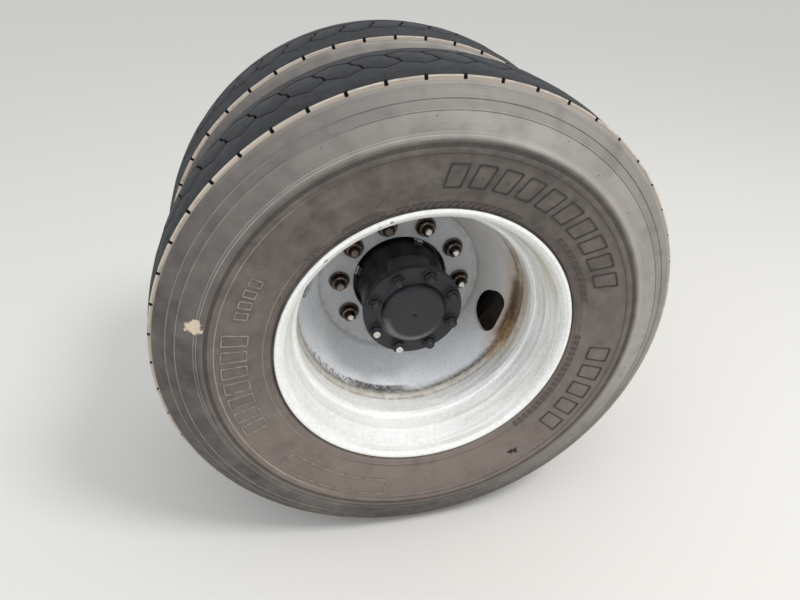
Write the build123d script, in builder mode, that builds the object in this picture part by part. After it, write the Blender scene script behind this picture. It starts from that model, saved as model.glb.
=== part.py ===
import os
from math import cos, radians, sin, tan

from build123d import *

# Twin rear wheel end of a street sweeper truck, millimetres.
# +Z up, +Y inboard along the axle, +X towards the front of the truck.
# Y = 0 is the inboard face of the spindle's bolt flange.

# Fits
running_gap = 0.05
seat_gap = 0.3
moving_gap = 5.0

# Rims: 22.5 x 8.25 inch drop centre with 15 degree bead seats
bead_seat_r = 571.5 / 2
rim_width = 209.55
flange_height = 12.7
flange_width = 13.0
flange_top = 6.0
flange_edge = 7.0
bead_taper = 15.0
rim_wall = 6.0
well_depth = 29.75
well_from_lip = 97.0
well_width = 75.0
well_slope = 9.0
well_round = 12.0
heel_round = 6.5
rim_edge_round = 2.5

# Discs, each measured from the face where the two wheels meet
wheel_offset = 167.0
disc_thick = 11.0
disc_edge_thick = 6.0
disc_bore_r = 110.05
disc_flat_past_studs = 34.125
disc_flat_round = 5.0
valley_out = 9.0
valley_drop = 4.0
valley_round = 8.0
cone_end = 119.0
cone_end_round = 14.0
cone_thick = 8.5
weld_end = 131.0
weld_leg = 13.0
hand_hole_angles = (-18.2, 161.8)
hand_hole_from_end = 60.0
hand_hole_base = 136.0
hand_hole_height = 147.0
hand_hole_top = 38.0
hand_hole_corner_r = 23.0
hand_hole_foot_r = 50.5

# Wheel studs and nuts, M22
stud_circle_r = 285.75 / 2
stud_count = 10
stud_start = 31.7
stud_r = 11.0
stud_hole_r = 13.0
stud_head_r = 15.5
stud_head = 9.0
stud_tip_past_nut = 12.0
stud_chamfer = 3.0
nut_across = 33.0
nut_height = 20.0
nut_washer_r = 23.0
nut_washer = 6.0

# Tyres, 11R22.5
tyre_section = 279.0
tyre_wide_r = 405.0
crown_r = 523.0
shoulder_r = 515.0
shoulder_rise_r = 470.0
shoulder_rise_in = 24.0
tread_width = 210.0
tread_thick = 30.0
shoulder_thick = 34.0
sidewall_thick = 13.0
bead_wide = 31.0
bead_groove = 7.0
bead_groove_depth = 3.0
bead_top_r = 335.0
lower_wall_r = 350.0
lower_wall_in = 7.0

# Hub
wheel_plane_y = -275.0
drum_flange = 10.0
hub_flange = 22.0
flange_past_studs = 17.125
hub_length = 312.0
hub_end_past_wheel = 132.0
hub_nose_r = 84.0
hub_neck_r = 100.0
hub_back_r = 99.0
hub_back_taper = 3.0
hub_bore_r = 64.0
hub_mouth_r = 73.0
pilot_r = 109.75
pilot_length = 34.0
pilot_count = 4
pilot_start = 69.4
pilot_width = 20.0
pilot_root = 2.0
drum_pilot_r = 114.3
lobe_r = 102.0
lobe_width = 92.0
lobe_length = 50.0
lobe_start = 1.9
lobe_round = 6.0

# Bearings on the spindle, each from the wheel plane
outer_bearing_at = -82.0
outer_bearing_bore_r = 41.3
outer_bearing_r = 70.0
inner_bearing_at = 143.0
inner_bearing_bore_r = 47.65
inner_bearing_r = 76.2
bearing_width = 36.0

# Axle shaft with its drive flange
drive_flange_r = 108.0
drive_flange = 16.0
dome_r = 71.0
dome_rise = 16.0
dome_round = 14.0
dome_foot_round = 4.0
drive_flange_round = 2.5
shaft_r = 24.0
shaft_flare = 8.0
spline_r = 26.0
spline_length = 70.0
spline_count = 16
shaft_length = 980.0
centre_hole_r = 5.0
centre_hole = 6.0
drive_stud_circle_r = 90.7
drive_stud_count = 8
drive_stud_start = 24.4
drive_stud_r = 8.0
drive_stud_out = 22.0
drive_stud_in = 24.0
drill_point = 1.0
drive_nut_across = 24.0
drive_nut_height = 14.0

# Spindle
spindle_bore_r = 29.5
thread_r = 38.0
thread_start = 14.0
journal_shoulder = 1.5
spindle_waist_r = 45.0
seal_journal_r = 56.0
seal_journal = 24.0
spindle_root_r = 80.0
spindle_root = 39.0
spindle_flange_r = 122.0
spindle_flange = 16.0
mount_circle_r = 100.0
mount_bolts = 12
mount_hole_r = 8.5
lock_nut_across = 98.0
lock_nut = 12.0

# Brake drum, 16.5 x 7 inch
drum_rim_gap = 21.5
drum_ring = 18.95
drum_edge_y = -21.0
drum_wall = 11.0
drum_shoulder = 6.5
drum_foot = 17.0
drum_clear = 4.0
drum_hub_gap = 3.0

# Brake spider and dust shield
spider = 16.0
spider_ring_r = 121.0
arm_width = 74.0
brake_clear = 4.55
boss_outer_r = 27.0
boss_depth = 30.0
cam_bore_r = 19.0
anchor_spread = 34.0
anchor_bore_r = 12.0
anchor_outer_r = 21.0
shield = 2.5
shield_over = 9.5
shield_lip = 14.0
shield_split = 4.0
slot_long = 44.0
slot_short = 17.0
slot_angles = (45.0, 135.0)

# Tyre valves, through the slope of the rim beside the disc
valve_angles = {"outer": 161.8, "inner": -18.2}
valve_reach = 24.0
valve_place = 86.0
valve_r = 4.2
valve_foot_r = 8.0
valve_foot = 8.0
valve_drop = 12.0
valve_bend_r = 14.0
valve_cap_r = 5.2
valve_cap = 13.0

# Stations along the axle
drum_face_y = wheel_plane_y + disc_thick
hub_face_y = drum_face_y + drum_flange
hub_flange_back_y = hub_face_y + hub_flange
hub_end_y = wheel_plane_y - hub_end_past_wheel
hub_back_y = hub_end_y + hub_length
nut_seat_y = wheel_plane_y - disc_thick
rim_total = rim_width + 2 * flange_width
flange_r = bead_seat_r + flange_height
taper = tan(radians(bead_taper))
seat_wall = rim_wall / cos(radians(bead_taper))
well_r = bead_seat_r - well_depth
disc_edge_r = well_r - rim_wall - seat_gap
disc_flat_r = stud_circle_r + disc_flat_past_studs
hub_flange_r = stud_circle_r + flange_past_studs
cone_start_r = disc_flat_r + valley_out
cone_start = disc_thick - valley_drop
cone_end_r = disc_edge_r - disc_edge_thick
cone_out = cone_end_r - cone_start_r
cone_along = cone_end - cone_start
cone_length = (cone_out ** 2 + cone_along ** 2) ** 0.5
drum_r = well_r - rim_wall - drum_rim_gap
braking_r = drum_r - drum_ring
shield_r = drum_r + shield_over
arm_reach = braking_r - arm_width / 2 - brake_clear


def across(y):
    # A plane square to the axle at y: local x is +X, local y is +Z, extruding goes outboard.
    return Plane.XZ.offset(-y)


def section(points):
    # The face inside a closed outline of (radius, y) or (radius, y, round), to be revolved about the axle.
    corners = [point[:2] for point in points]
    rounds = [point[2] if len(point) > 2 else 0 for point in points]
    with BuildSketch(Plane.XY) as face:
        with BuildLine():
            FilletPolyline(corners, radius=rounds, close=True)
        make_face()
    return face.sketch


def save(part, name):
    part.label = name
    export_step(part, "parts/" + name + ".step")


def seat_at(from_heel):
    # Radius of the tapered bead seat at a distance from its heel.
    return bead_seat_r - from_heel * taper


def rim_points():
    # (radius, distance from the far lip), tyre side first and then the axle side.
    heel = flange_width
    well_end = well_from_lip + well_width
    far_toe = well_from_lip - well_slope
    near_toe = well_end + well_slope
    near_heel = rim_total - heel
    turn = rim_wall / 2
    tyre_side = [
        (flange_r, 0, rim_edge_round),
        (flange_r, flange_top, rim_edge_round),
        (bead_seat_r, heel, heel_round),
        (seat_at(far_toe - heel), far_toe, well_round),
        (well_r, well_from_lip, well_round),
        (well_r, well_end, well_round),
        (seat_at(near_heel - near_toe), near_toe, well_round),
        (bead_seat_r, near_heel, heel_round),
        (flange_r, rim_total - flange_top, rim_edge_round),
        (flange_r, rim_total, rim_edge_round),
    ]
    axle_side = [
        (flange_r - flange_edge, rim_total, rim_edge_round),
        (bead_seat_r - seat_wall, near_heel, heel_round),
        (seat_at(near_heel - near_toe - turn) - seat_wall, near_toe + turn, well_round),
        (well_r - rim_wall, well_end + turn, well_round),
        (well_r - rim_wall, well_from_lip - turn, well_round),
        (seat_at(far_toe - turn - heel) - seat_wall, far_toe - turn, well_round),
        (bead_seat_r - seat_wall, heel, heel_round),
        (flange_r - flange_edge, 0, rim_edge_round),
    ]
    return tyre_side + axle_side


def cone_r(d, off):
    # Radius of the disc's slope at a distance from the mating face, moved off it towards the axle.
    return cone_start_r + (d - cone_start) * cone_out / cone_along - off * cone_length / cone_along


def disc_points():
    # (radius, distance from the mating face towards the rim, round), mating side first.
    back = -cone_thick
    mating_edge_r = cone_r(0, back)
    edge_start = cone_start + (disc_edge_r - cone_r(cone_start, back)) * cone_along / cone_out
    return [
        (disc_bore_r, 0),
        (mating_edge_r, 0, valley_round + cone_thick),
        (disc_edge_r, edge_start, cone_end_round - disc_edge_thick),
        (disc_edge_r, weld_end + weld_leg),
        (cone_end_r, weld_end),
        (cone_end_r, cone_end, cone_end_round),
        (cone_start_r, cone_start, valley_round),
        (disc_flat_r, disc_thick, disc_flat_round),
        (disc_bore_r, disc_thick),
    ]


def tyre_section_lines():
    # One closed outline (radius, distance from the far lip), hollow and open at the beads.
    middle = rim_total / 2
    tread_edge = middle - tread_width / 2
    wide = middle - tyre_section / 2
    heel = flange_width + seat_gap
    toe_at = heel + bead_wide
    toe_r = bead_seat_r + seat_gap - bead_wide * taper
    heel_r = bead_seat_r + seat_gap
    lip = (flange_r + seat_gap, flange_top + seat_gap)
    inner_wide = wide + sidewall_thick
    ends = []
    for flip in (False, True):
        def at(r, s):
            return (r, rim_total - s if flip else s)
        groove_edge = at(flange_r + bead_groove, flange_top - bead_groove_depth)
        FilletPolyline(
            at(toe_r, toe_at),
            at(heel_r, heel),
            at(*lip),
            at(flange_r + bead_groove / 2, lip[1] + bead_groove_depth),
            groove_edge,
            radius=(heel_round, 0, 0),
        )
        ThreePointArc(
            groove_edge,
            at(lower_wall_r, wide + lower_wall_in),
            at(tyre_wide_r, wide),
        )
        ThreePointArc(
            at(tyre_wide_r, wide),
            at(shoulder_rise_r, tread_edge - shoulder_rise_in),
            at(shoulder_r, tread_edge),
        )
        inner_shoulder = at(shoulder_r - shoulder_thick, tread_edge + shoulder_thick)
        Polyline(
            at(toe_r, toe_at),
            at(bead_top_r, flange_top + sidewall_thick),
            at(tyre_wide_r, inner_wide),
            inner_shoulder,
        )
        ends.append((at(shoulder_r, tread_edge), inner_shoulder))
    ThreePointArc(ends[0][0], (crown_r, middle), ends[1][0])
    Polyline(ends[0][1], (crown_r - tread_thick, middle), ends[1][1])


def placed(lip_points, facing):
    # From distances off the far lip to distances off the mating face, then to y.
    far_lip = wheel_offset + rim_total / 2
    return [(r, wheel_plane_y + facing * (far_lip - s), *rest) for r, s, *rest in lip_points]


def valve_seat(facing, angle):
    # The plane on the rim's axle side where a valve sits, with its normal pointing off the wall.
    outward = Vector(cos(radians(angle)), 0, sin(radians(angle)))
    lean = radians(bead_taper)
    near_heel = wheel_offset - rim_width / 2
    seat_r = seat_at(valve_place - near_heel) - seat_wall
    return Plane(
        origin=outward * seat_r + Vector(0, wheel_plane_y + facing * valve_place, 0),
        x_dir=outward.cross(Vector(0, 1, 0)),
        z_dir=outward * -cos(lean) + Vector(0, -facing * sin(lean), 0),
    )


os.makedirs("parts", exist_ok=True)

# facing is -1 for the outboard wheel and +1 for its twin, turned round against it
for side, facing in (("outer", -1), ("inner", 1)):
    far_lip_y = wheel_plane_y + facing * (wheel_offset + rim_total / 2)

    with BuildPart() as rim:
        revolve(section(placed(rim_points(), facing)), axis=Axis.Y)
        with BuildSketch(valve_seat(facing, valve_angles[side])):
            Circle(valve_r + seat_gap)
        extrude(amount=2 * rim_wall, both=True, mode=Mode.SUBTRACT)
    save(rim.part, "rim_" + side)

    with BuildPart() as disc:
        outline = [(r, wheel_plane_y + facing * d, *rest) for r, d, *rest in disc_points()]
        revolve(section(outline), axis=Axis.Y)
        with BuildSketch(across(wheel_plane_y)):
            with PolarLocations(stud_circle_r, stud_count, start_angle=stud_start):
                Circle(stud_hole_r)
        extrude(amount=2 * disc_thick, both=True, mode=Mode.SUBTRACT)
        hole_d = cone_end - hand_hole_from_end * cone_along / cone_length
        for angle in hand_hole_angles:
            outward = Vector(cos(radians(angle)), 0, sin(radians(angle)))
            uphill = outward * cone_out + Vector(0, facing * cone_along, 0)
            normal = outward * cone_along - Vector(0, facing * cone_out, 0)
            centre = outward * cone_r(hole_d, 0) + Vector(0, wheel_plane_y + facing * hole_d, 0)
            with BuildSketch(Plane(origin=centre, x_dir=uphill, z_dir=normal)):
                with BuildLine():
                    FilletPolyline(
                        (hand_hole_top, hand_hole_base / 2),
                        (hand_hole_top - hand_hole_height, 0),
                        (hand_hole_top, -hand_hole_base / 2),
                        radius=(hand_hole_corner_r, hand_hole_foot_r, hand_hole_corner_r),
                        close=True,
                    )
                make_face()
            extrude(amount=4 * cone_thick, both=True, mode=Mode.SUBTRACT)
    save(disc.part, "disc_" + side)

    with BuildPart() as tyre:
        with BuildSketch(Plane(origin=(0, far_lip_y, 0), z_dir=(0, 0, -facing), x_dir=(1, 0, 0))):
            with BuildLine():
                tyre_section_lines()
            make_face()
        revolve(axis=Axis.Y)
    save(tyre.part, "tyre_" + side)

    with BuildPart() as valve:
        seat = valve_seat(facing, valve_angles[side])
        stem_turn = 90 - bead_taper
        with BuildLine() as route:
            start = seat.origin - seat.z_dir * (rim_wall + seat_gap)
            drop_end = seat.origin + seat.z_dir * (valve_foot + valve_drop)
            onward = Vector(0, -facing, 0)
            across_bend = (onward - seat.z_dir * seat.z_dir.dot(onward)).normalized()
            bend = radians(stem_turn)
            bend_middle = drop_end + valve_bend_r * (
                seat.z_dir * sin(bend / 2) + across_bend * (1 - cos(bend / 2))
            )
            bend_end = drop_end + valve_bend_r * (seat.z_dir * sin(bend) + across_bend * (1 - cos(bend)))
            tip = bend_end + onward * valve_reach
            Line(start, drop_end)
            ThreePointArc(drop_end, bend_middle, bend_end)
            Line(bend_end, tip)
        with BuildSketch(Plane(origin=start, z_dir=seat.z_dir)):
            Circle(valve_r)
        sweep(path=route.wires()[0])
        with BuildSketch(seat.offset(seat_gap)):
            Circle(valve_foot_r)
        extrude(amount=valve_foot)
        with BuildSketch(Plane(origin=tip, z_dir=onward)):
            Circle(valve_cap_r)
        extrude(amount=-valve_cap)
    save(valve.part, "valve_" + side)

with BuildSketch() as pads:
    with PolarLocations(pilot_r, pilot_count, start_angle=pilot_start):
        Rectangle(pilot_r, pilot_width)

with BuildSketch() as lobes:
    with PolarLocations(0, pilot_count // 2, start_angle=lobe_start, angular_range=180):
        Rectangle(2 * lobe_r, lobe_width)
    Circle(lobe_r, mode=Mode.INTERSECT)
    fillet(lobes.vertices().filter_by(lambda v: v.center().length > lobe_width), lobe_round)

with BuildPart() as hub:
    revolve(
        section(
            [
                (hub_mouth_r, hub_end_y),
                (hub_nose_r, hub_end_y),
                (hub_nose_r, hub_end_y + lobe_length),
                (hub_neck_r, nut_seat_y - pilot_length / 2),
                (hub_neck_r, drum_face_y),
                (drum_pilot_r, drum_face_y),
                (drum_pilot_r, hub_face_y),
                (hub_flange_r, hub_face_y),
                (hub_flange_r, hub_flange_back_y),
                (hub_back_r + hub_flange, hub_flange_back_y),
                (hub_back_r, hub_flange_back_y + hub_flange),
                (hub_back_r - hub_back_taper, hub_back_y),
                (inner_bearing_r + running_gap, hub_back_y),
                (inner_bearing_r + running_gap, wheel_plane_y + inner_bearing_at - bearing_width / 2),
                (hub_bore_r, wheel_plane_y + inner_bearing_at - bearing_width / 2),
                (hub_bore_r, wheel_plane_y + outer_bearing_at + bearing_width / 2),
                (outer_bearing_r + running_gap, wheel_plane_y + outer_bearing_at + bearing_width / 2),
                (outer_bearing_r + running_gap, wheel_plane_y + outer_bearing_at - bearing_width / 2),
                (hub_mouth_r, wheel_plane_y + outer_bearing_at - bearing_width / 2),
            ]
        ),
        axis=Axis.Y,
    )
    with BuildSketch(across(drum_face_y)):
        Circle(pilot_r)
        add(pads.sketch, mode=Mode.INTERSECT)
        Circle(hub_neck_r - pilot_root, mode=Mode.SUBTRACT)
    extrude(amount=pilot_length)
    with BuildSketch(across(hub_end_y + lobe_length)):
        add(lobes.sketch)
        Circle(hub_mouth_r, mode=Mode.SUBTRACT)
    extrude(amount=lobe_length)
    with BuildSketch(across(hub_face_y)):
        with PolarLocations(stud_circle_r, stud_count, start_angle=stud_start):
            Circle(stud_r + running_gap)
    extrude(amount=-hub_flange, mode=Mode.SUBTRACT)
    with BuildSketch(across(hub_end_y)):
        with PolarLocations(drive_stud_circle_r, drive_stud_count, start_angle=drive_stud_start):
            Circle(drive_stud_r + running_gap)
    extrude(amount=-(drive_stud_in + drill_point), mode=Mode.SUBTRACT)
save(hub.part, "hub")

# name, place from the wheel plane, bore and outside radius
for name, place, bore_r, outside_r in (
    ("hub_bearing_outer", outer_bearing_at, outer_bearing_bore_r, outer_bearing_r),
    ("hub_bearing_inner", inner_bearing_at, inner_bearing_bore_r, inner_bearing_r),
):
    with BuildPart() as bearing:
        with BuildSketch(across(wheel_plane_y + place)):
            Circle(outside_r)
            Circle(bore_r, mode=Mode.SUBTRACT)
        extrude(amount=bearing_width / 2, both=True)
    save(bearing.part, name)

with BuildPart() as wheel_studs:
    with BuildSketch(across(hub_flange_back_y)):
        with PolarLocations(stud_circle_r, stud_count, start_angle=stud_start):
            Circle(stud_r)
    extrude(amount=hub_flange_back_y - nut_seat_y + nut_height + stud_tip_past_nut)
    with BuildSketch(across(hub_flange_back_y)):
        with PolarLocations(stud_circle_r, stud_count, start_angle=stud_start):
            Circle(stud_head_r)
    extrude(amount=-stud_head)
    tips = wheel_studs.faces().filter_by(Axis.Y).group_by(Axis.Y)[0]
    chamfer(tips.edges(), stud_chamfer)
save(wheel_studs.part, "wheel_studs")

with BuildPart() as wheel_nuts:
    with BuildSketch(across(nut_seat_y)):
        with PolarLocations(stud_circle_r, stud_count, start_angle=stud_start):
            Circle(nut_washer_r)
            Circle(stud_r + seat_gap, mode=Mode.SUBTRACT)
    extrude(amount=nut_washer)
    with BuildSketch(across(nut_seat_y)):
        with PolarLocations(stud_circle_r, stud_count, start_angle=stud_start):
            RegularPolygon(nut_across / 2, 6, major_radius=False)
            Circle(stud_r + seat_gap, mode=Mode.SUBTRACT)
    extrude(amount=nut_height)
save(wheel_nuts.part, "wheel_nuts")

with BuildPart() as axle_shaft:
    dome_y = hub_end_y - drive_flange - dome_rise
    shaft_end_y = hub_end_y + shaft_length
    revolve(
        section(
            [
                (0, dome_y + centre_hole),
                (0, shaft_end_y),
                (spline_r, shaft_end_y),
                (spline_r, shaft_end_y - spline_length),
                (shaft_r, shaft_end_y - spline_length - spline_r),
                (shaft_r, hub_end_y + shaft_flare),
                (shaft_r + shaft_flare, hub_end_y),
                (drive_flange_r, hub_end_y),
                (drive_flange_r, hub_end_y - drive_flange, drive_flange_round),
                (dome_r, hub_end_y - drive_flange, dome_foot_round),
                (dome_r, dome_y, dome_round),
                (centre_hole_r, dome_y),
            ]
        ),
        axis=Axis.Y,
    )
    with BuildSketch(across(hub_end_y)):
        with PolarLocations(drive_stud_circle_r, drive_stud_count, start_angle=drive_stud_start):
            Circle(drive_stud_r + seat_gap)
    extrude(amount=drive_flange, mode=Mode.SUBTRACT)
    with BuildSketch(across(shaft_end_y)):
        with PolarLocations(spline_r, spline_count):
            Rectangle(spline_r - shaft_r, 0.5 * spline_r * sin(radians(360 / spline_count)))
    extrude(amount=spline_length + spline_r, mode=Mode.SUBTRACT)
save(axle_shaft.part, "axle_shaft")

with BuildPart() as drive_studs:
    with BuildSketch(across(hub_end_y + drive_stud_in)):
        with PolarLocations(drive_stud_circle_r, drive_stud_count, start_angle=drive_stud_start):
            Circle(drive_stud_r)
    extrude(amount=drive_stud_in + drive_flange + drive_stud_out)
save(drive_studs.part, "drive_studs")

with BuildPart() as drive_nuts:
    with BuildSketch(across(hub_end_y - drive_flange)):
        with PolarLocations(drive_stud_circle_r, drive_stud_count, start_angle=drive_stud_start):
            RegularPolygon(drive_nut_across / 2, 6, major_radius=False)
            Circle(drive_stud_r + seat_gap, mode=Mode.SUBTRACT)
    extrude(amount=drive_nut_height)
save(drive_nuts.part, "drive_nuts")

with BuildPart() as brake_drum:
    # The bell follows the inside of the twin's disc, drum_clear away from it.
    foot_d = disc_thick + drum_foot
    shoulder_r = drum_r - drum_shoulder
    shoulder_d = cone_start + (shoulder_r - cone_r(cone_start, drum_clear)) * cone_along / cone_out
    shoulder_y = wheel_plane_y + shoulder_d
    foot_r = cone_r(foot_d, drum_clear)
    foot_y = wheel_plane_y + foot_d
    revolve(
        section(
            [
                (drum_pilot_r + seat_gap, drum_face_y),
                (hub_flange_r, drum_face_y),
                (foot_r, foot_y),
                (shoulder_r, shoulder_y),
                (drum_r, shoulder_y + drum_wall),
                (drum_r, drum_edge_y),
                (braking_r, drum_edge_y),
                (braking_r, shoulder_y + drum_wall),
                (shoulder_r - drum_wall, shoulder_y),
                (foot_r - drum_wall, foot_y + drum_wall),
                (hub_flange_r + drum_hub_gap, hub_face_y),
                (drum_pilot_r + seat_gap, hub_face_y),
            ]
        ),
        axis=Axis.Y,
    )
    with BuildSketch(across(hub_face_y)):
        with PolarLocations(stud_circle_r, stud_count, start_angle=stud_start):
            Circle(stud_hole_r)
    extrude(amount=drum_flange, mode=Mode.SUBTRACT)
save(brake_drum.part, "brake_drum")

with BuildPart() as spindle:
    nose_y = hub_end_y + thread_start
    outer_journal_y = wheel_plane_y + outer_bearing_at - bearing_width / 2 - seat_gap
    outer_end_y = wheel_plane_y + outer_bearing_at + bearing_width / 2
    inner_start_y = wheel_plane_y + inner_bearing_at - bearing_width / 2
    inner_end_y = wheel_plane_y + inner_bearing_at + bearing_width / 2 + seat_gap
    outer_journal_r = outer_bearing_bore_r - running_gap
    inner_journal_r = inner_bearing_bore_r - running_gap
    revolve(
        section(
            [
                (spindle_bore_r, nose_y),
                (thread_r, nose_y),
                (thread_r, outer_journal_y),
                (outer_journal_r, outer_journal_y),
                (outer_journal_r, outer_end_y + journal_shoulder),
                (spindle_waist_r, outer_end_y + spindle_waist_r - outer_journal_r + journal_shoulder),
                (spindle_waist_r, inner_start_y - journal_shoulder - inner_journal_r + spindle_waist_r),
                (inner_journal_r, inner_start_y - journal_shoulder),
                (inner_journal_r, inner_end_y),
                (seal_journal_r, inner_end_y),
                (seal_journal_r, inner_end_y + seal_journal),
                (spindle_root_r, -spindle_root - spindle_flange),
                (spindle_root_r, -spindle_flange),
                (spindle_flange_r, -spindle_flange),
                (spindle_flange_r, 0),
                (spindle_bore_r, 0),
            ]
        ),
        axis=Axis.Y,
    )
    with BuildSketch(across(0)):
        with PolarLocations(mount_circle_r, mount_bolts):
            Circle(mount_hole_r)
    extrude(amount=spindle_flange, mode=Mode.SUBTRACT)
save(spindle.part, "spindle")

with BuildPart() as spindle_nut:
    nut_face_y = wheel_plane_y + outer_bearing_at - bearing_width / 2 - seat_gap
    with BuildSketch(across(nut_face_y)):
        RegularPolygon(lock_nut_across / 2, 8, major_radius=False)
        Circle(thread_r + running_gap, mode=Mode.SUBTRACT)
    extrude(amount=lock_nut)
save(spindle_nut.part, "spindle_nut")

with BuildPart() as brake_spider:
    spider_back_y = -spindle_flange
    with BuildSketch(across(spider_back_y)):
        Circle(spider_ring_r)
        with Locations((-arm_reach / 2, 0), (arm_reach / 2, 0)):
            Rectangle(arm_reach, arm_width)
        with Locations((-arm_reach, 0)):
            Circle(arm_width / 2)
        with Locations((arm_reach, anchor_spread), (arm_reach, -anchor_spread)):
            Circle(anchor_outer_r)
        Circle(spindle_root_r + seat_gap, mode=Mode.SUBTRACT)
        with PolarLocations(mount_circle_r, mount_bolts):
            Circle(mount_hole_r, mode=Mode.SUBTRACT)
    extrude(amount=spider)
    with BuildSketch(across(spider_back_y)):
        with Locations((-arm_reach, 0)):
            Circle(boss_outer_r)
        with Locations((arm_reach, anchor_spread), (arm_reach, -anchor_spread)):
            Circle(anchor_outer_r)
    extrude(amount=boss_depth)
    with BuildSketch(across(spider_back_y)):
        with Locations((-arm_reach, 0)):
            Circle(cam_bore_r)
        with Locations((arm_reach, anchor_spread), (arm_reach, -anchor_spread)):
            Circle(anchor_bore_r)
    extrude(amount=boss_depth, mode=Mode.SUBTRACT)
save(brake_spider.part, "brake_spider")

# name, the side of the axle that it covers
for name, up in (("dust_shield_upper", 1), ("dust_shield_lower", -1)):
    with BuildPart() as dust_shield:
        with BuildSketch(across(-spindle_flange)):
            Circle(shield_r)
            Circle(spindle_flange_r + moving_gap, mode=Mode.SUBTRACT)
            with Locations((-arm_reach, 0)):
                Circle(cam_bore_r + moving_gap, mode=Mode.SUBTRACT)
            with Locations((0, up * (shield_r + shield_split / 2))):
                Rectangle(2 * shield_r, 2 * shield_r, mode=Mode.INTERSECT)
            for angle in slot_angles:
                with PolarLocations(braking_r - slot_short, 1, start_angle=up * angle):
                    SlotOverall(slot_long, slot_short, rotation=90, mode=Mode.SUBTRACT)
        extrude(amount=-shield)
        with BuildSketch(across(-spindle_flange)):
            Circle(shield_r)
            Circle(shield_r - shield, mode=Mode.SUBTRACT)
            with Locations((0, up * (shield_r + shield_split / 2))):
                Rectangle(2 * shield_r, 2 * shield_r, mode=Mode.INTERSECT)
        extrude(amount=shield_lip)
    save(dust_shield.part, name)
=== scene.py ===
import random
from functools import partial
from math import atan, cos, pi, radians, sin, sqrt, tan, tau

import bmesh
import bpy
from mathutils import Matrix, Vector, noise


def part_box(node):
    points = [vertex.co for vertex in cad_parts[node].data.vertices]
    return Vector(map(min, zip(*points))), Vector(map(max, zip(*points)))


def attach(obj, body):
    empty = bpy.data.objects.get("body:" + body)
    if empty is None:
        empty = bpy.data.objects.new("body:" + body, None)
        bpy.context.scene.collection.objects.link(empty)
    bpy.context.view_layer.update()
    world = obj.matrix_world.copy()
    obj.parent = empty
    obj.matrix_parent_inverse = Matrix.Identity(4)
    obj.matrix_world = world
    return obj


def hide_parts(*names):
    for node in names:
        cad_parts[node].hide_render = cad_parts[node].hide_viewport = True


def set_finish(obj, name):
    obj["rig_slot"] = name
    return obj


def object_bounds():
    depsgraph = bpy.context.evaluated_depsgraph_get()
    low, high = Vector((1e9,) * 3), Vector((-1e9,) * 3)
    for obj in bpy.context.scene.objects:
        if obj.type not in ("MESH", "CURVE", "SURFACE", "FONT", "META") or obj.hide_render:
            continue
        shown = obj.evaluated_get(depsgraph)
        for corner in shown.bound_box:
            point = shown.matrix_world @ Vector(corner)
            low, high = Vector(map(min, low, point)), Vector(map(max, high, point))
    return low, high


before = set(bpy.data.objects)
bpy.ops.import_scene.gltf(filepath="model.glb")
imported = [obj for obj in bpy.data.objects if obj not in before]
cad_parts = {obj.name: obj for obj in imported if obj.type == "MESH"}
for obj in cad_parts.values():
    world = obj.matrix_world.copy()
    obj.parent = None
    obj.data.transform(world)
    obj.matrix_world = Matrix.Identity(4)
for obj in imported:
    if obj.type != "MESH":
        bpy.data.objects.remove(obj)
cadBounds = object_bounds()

# Twin rear wheel end of a street sweeper truck. Sizes below are millimetres, the scene is metres.
# +Z up, +Y inboard along the axle, +X towards the front of the truck.
mm = 0.001


def span(node, axis):
    # From and to of a CAD node along one axis, in mm
    return [getattr(corner, axis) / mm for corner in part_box(node)]


tyreFrom, tyreTo = span("tyre_outer", "y")
rimFrom, rimTo = span("rim_outer", "y")
crownRadius = span("tyre_outer", "z")[1]
rimFlangeRadius = span("rim_outer", "z")[1]
tyreCentre = (tyreFrom + tyreTo) / 2
tyreHalfWidth = (tyreTo - tyreFrom) / 2
rimHalfWidth = (rimTo - rimFrom) / 2
wheelPlane = (tyreFrom + span("tyre_inner", "y")[1]) / 2  # the face where the two discs meet
lipPlane = tyreCentre - rimHalfWidth
outwards = Matrix.Rotation(pi / 2, 4, "X")                # turns a shape's z to the outboard side


def linear(hexColour):
    channels = [int(hexColour[i:i + 2], 16) / 255 for i in (0, 2, 4)]
    return [c / 12.92 if c <= 0.04045 else ((c + 0.055) / 1.055) ** 2.4 for c in channels] + [1]


def addNode(tree, kind, inputs=(), out=0, **settings):
    # A shader node with its settings; inputs are values, hex colours or sockets, in order or by name
    made = tree.nodes.new("ShaderNode" + kind)
    for name, value in settings.items():
        setattr(made, name, value)
    for key, value in inputs.items() if isinstance(inputs, dict) else enumerate(inputs):
        if isinstance(value, bpy.types.NodeSocket):
            tree.links.new(value, made.inputs[key])
        else:
            made.inputs[key].default_value = linear(value) if isinstance(value, str) else value
    return made.outputs[out]


def startMaterial(name, colour, roughness, metallic=0.0):
    # A new material, the function that adds nodes to it, and the object's own coordinates
    material = bpy.data.materials.new(name)
    material.use_nodes = True
    material.diffuse_color = linear(colour)
    shader = material.node_tree.nodes["Principled BSDF"].inputs
    shader["Base Color"].default_value = linear(colour)
    shader["Roughness"].default_value = roughness
    shader["Metallic"].default_value = metallic
    add = partial(addNode, material.node_tree)
    return material, add, add("TexCoord", out="Object")


def finishMaterial(material, add, colour, rough=None, relief=None, depth=0.25, metal=None):
    # Links the colour, the roughness as (pattern, low, high), the skin's relief, depth in mm, and the metal
    links = {"Base Color": colour}
    if rough is not None:
        links["Roughness"] = add("MapRange", [rough[0], 0, 1, rough[1], rough[2]])
    if relief is not None:
        links["Normal"] = add("Bump", {"Height": relief, "Distance": depth * mm})
    if metal is not None:
        links["Metallic"] = metal
    for name, socket in links.items():
        material.node_tree.links.new(socket, material.node_tree.nodes["Principled BSDF"].inputs[name])
    return material


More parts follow.
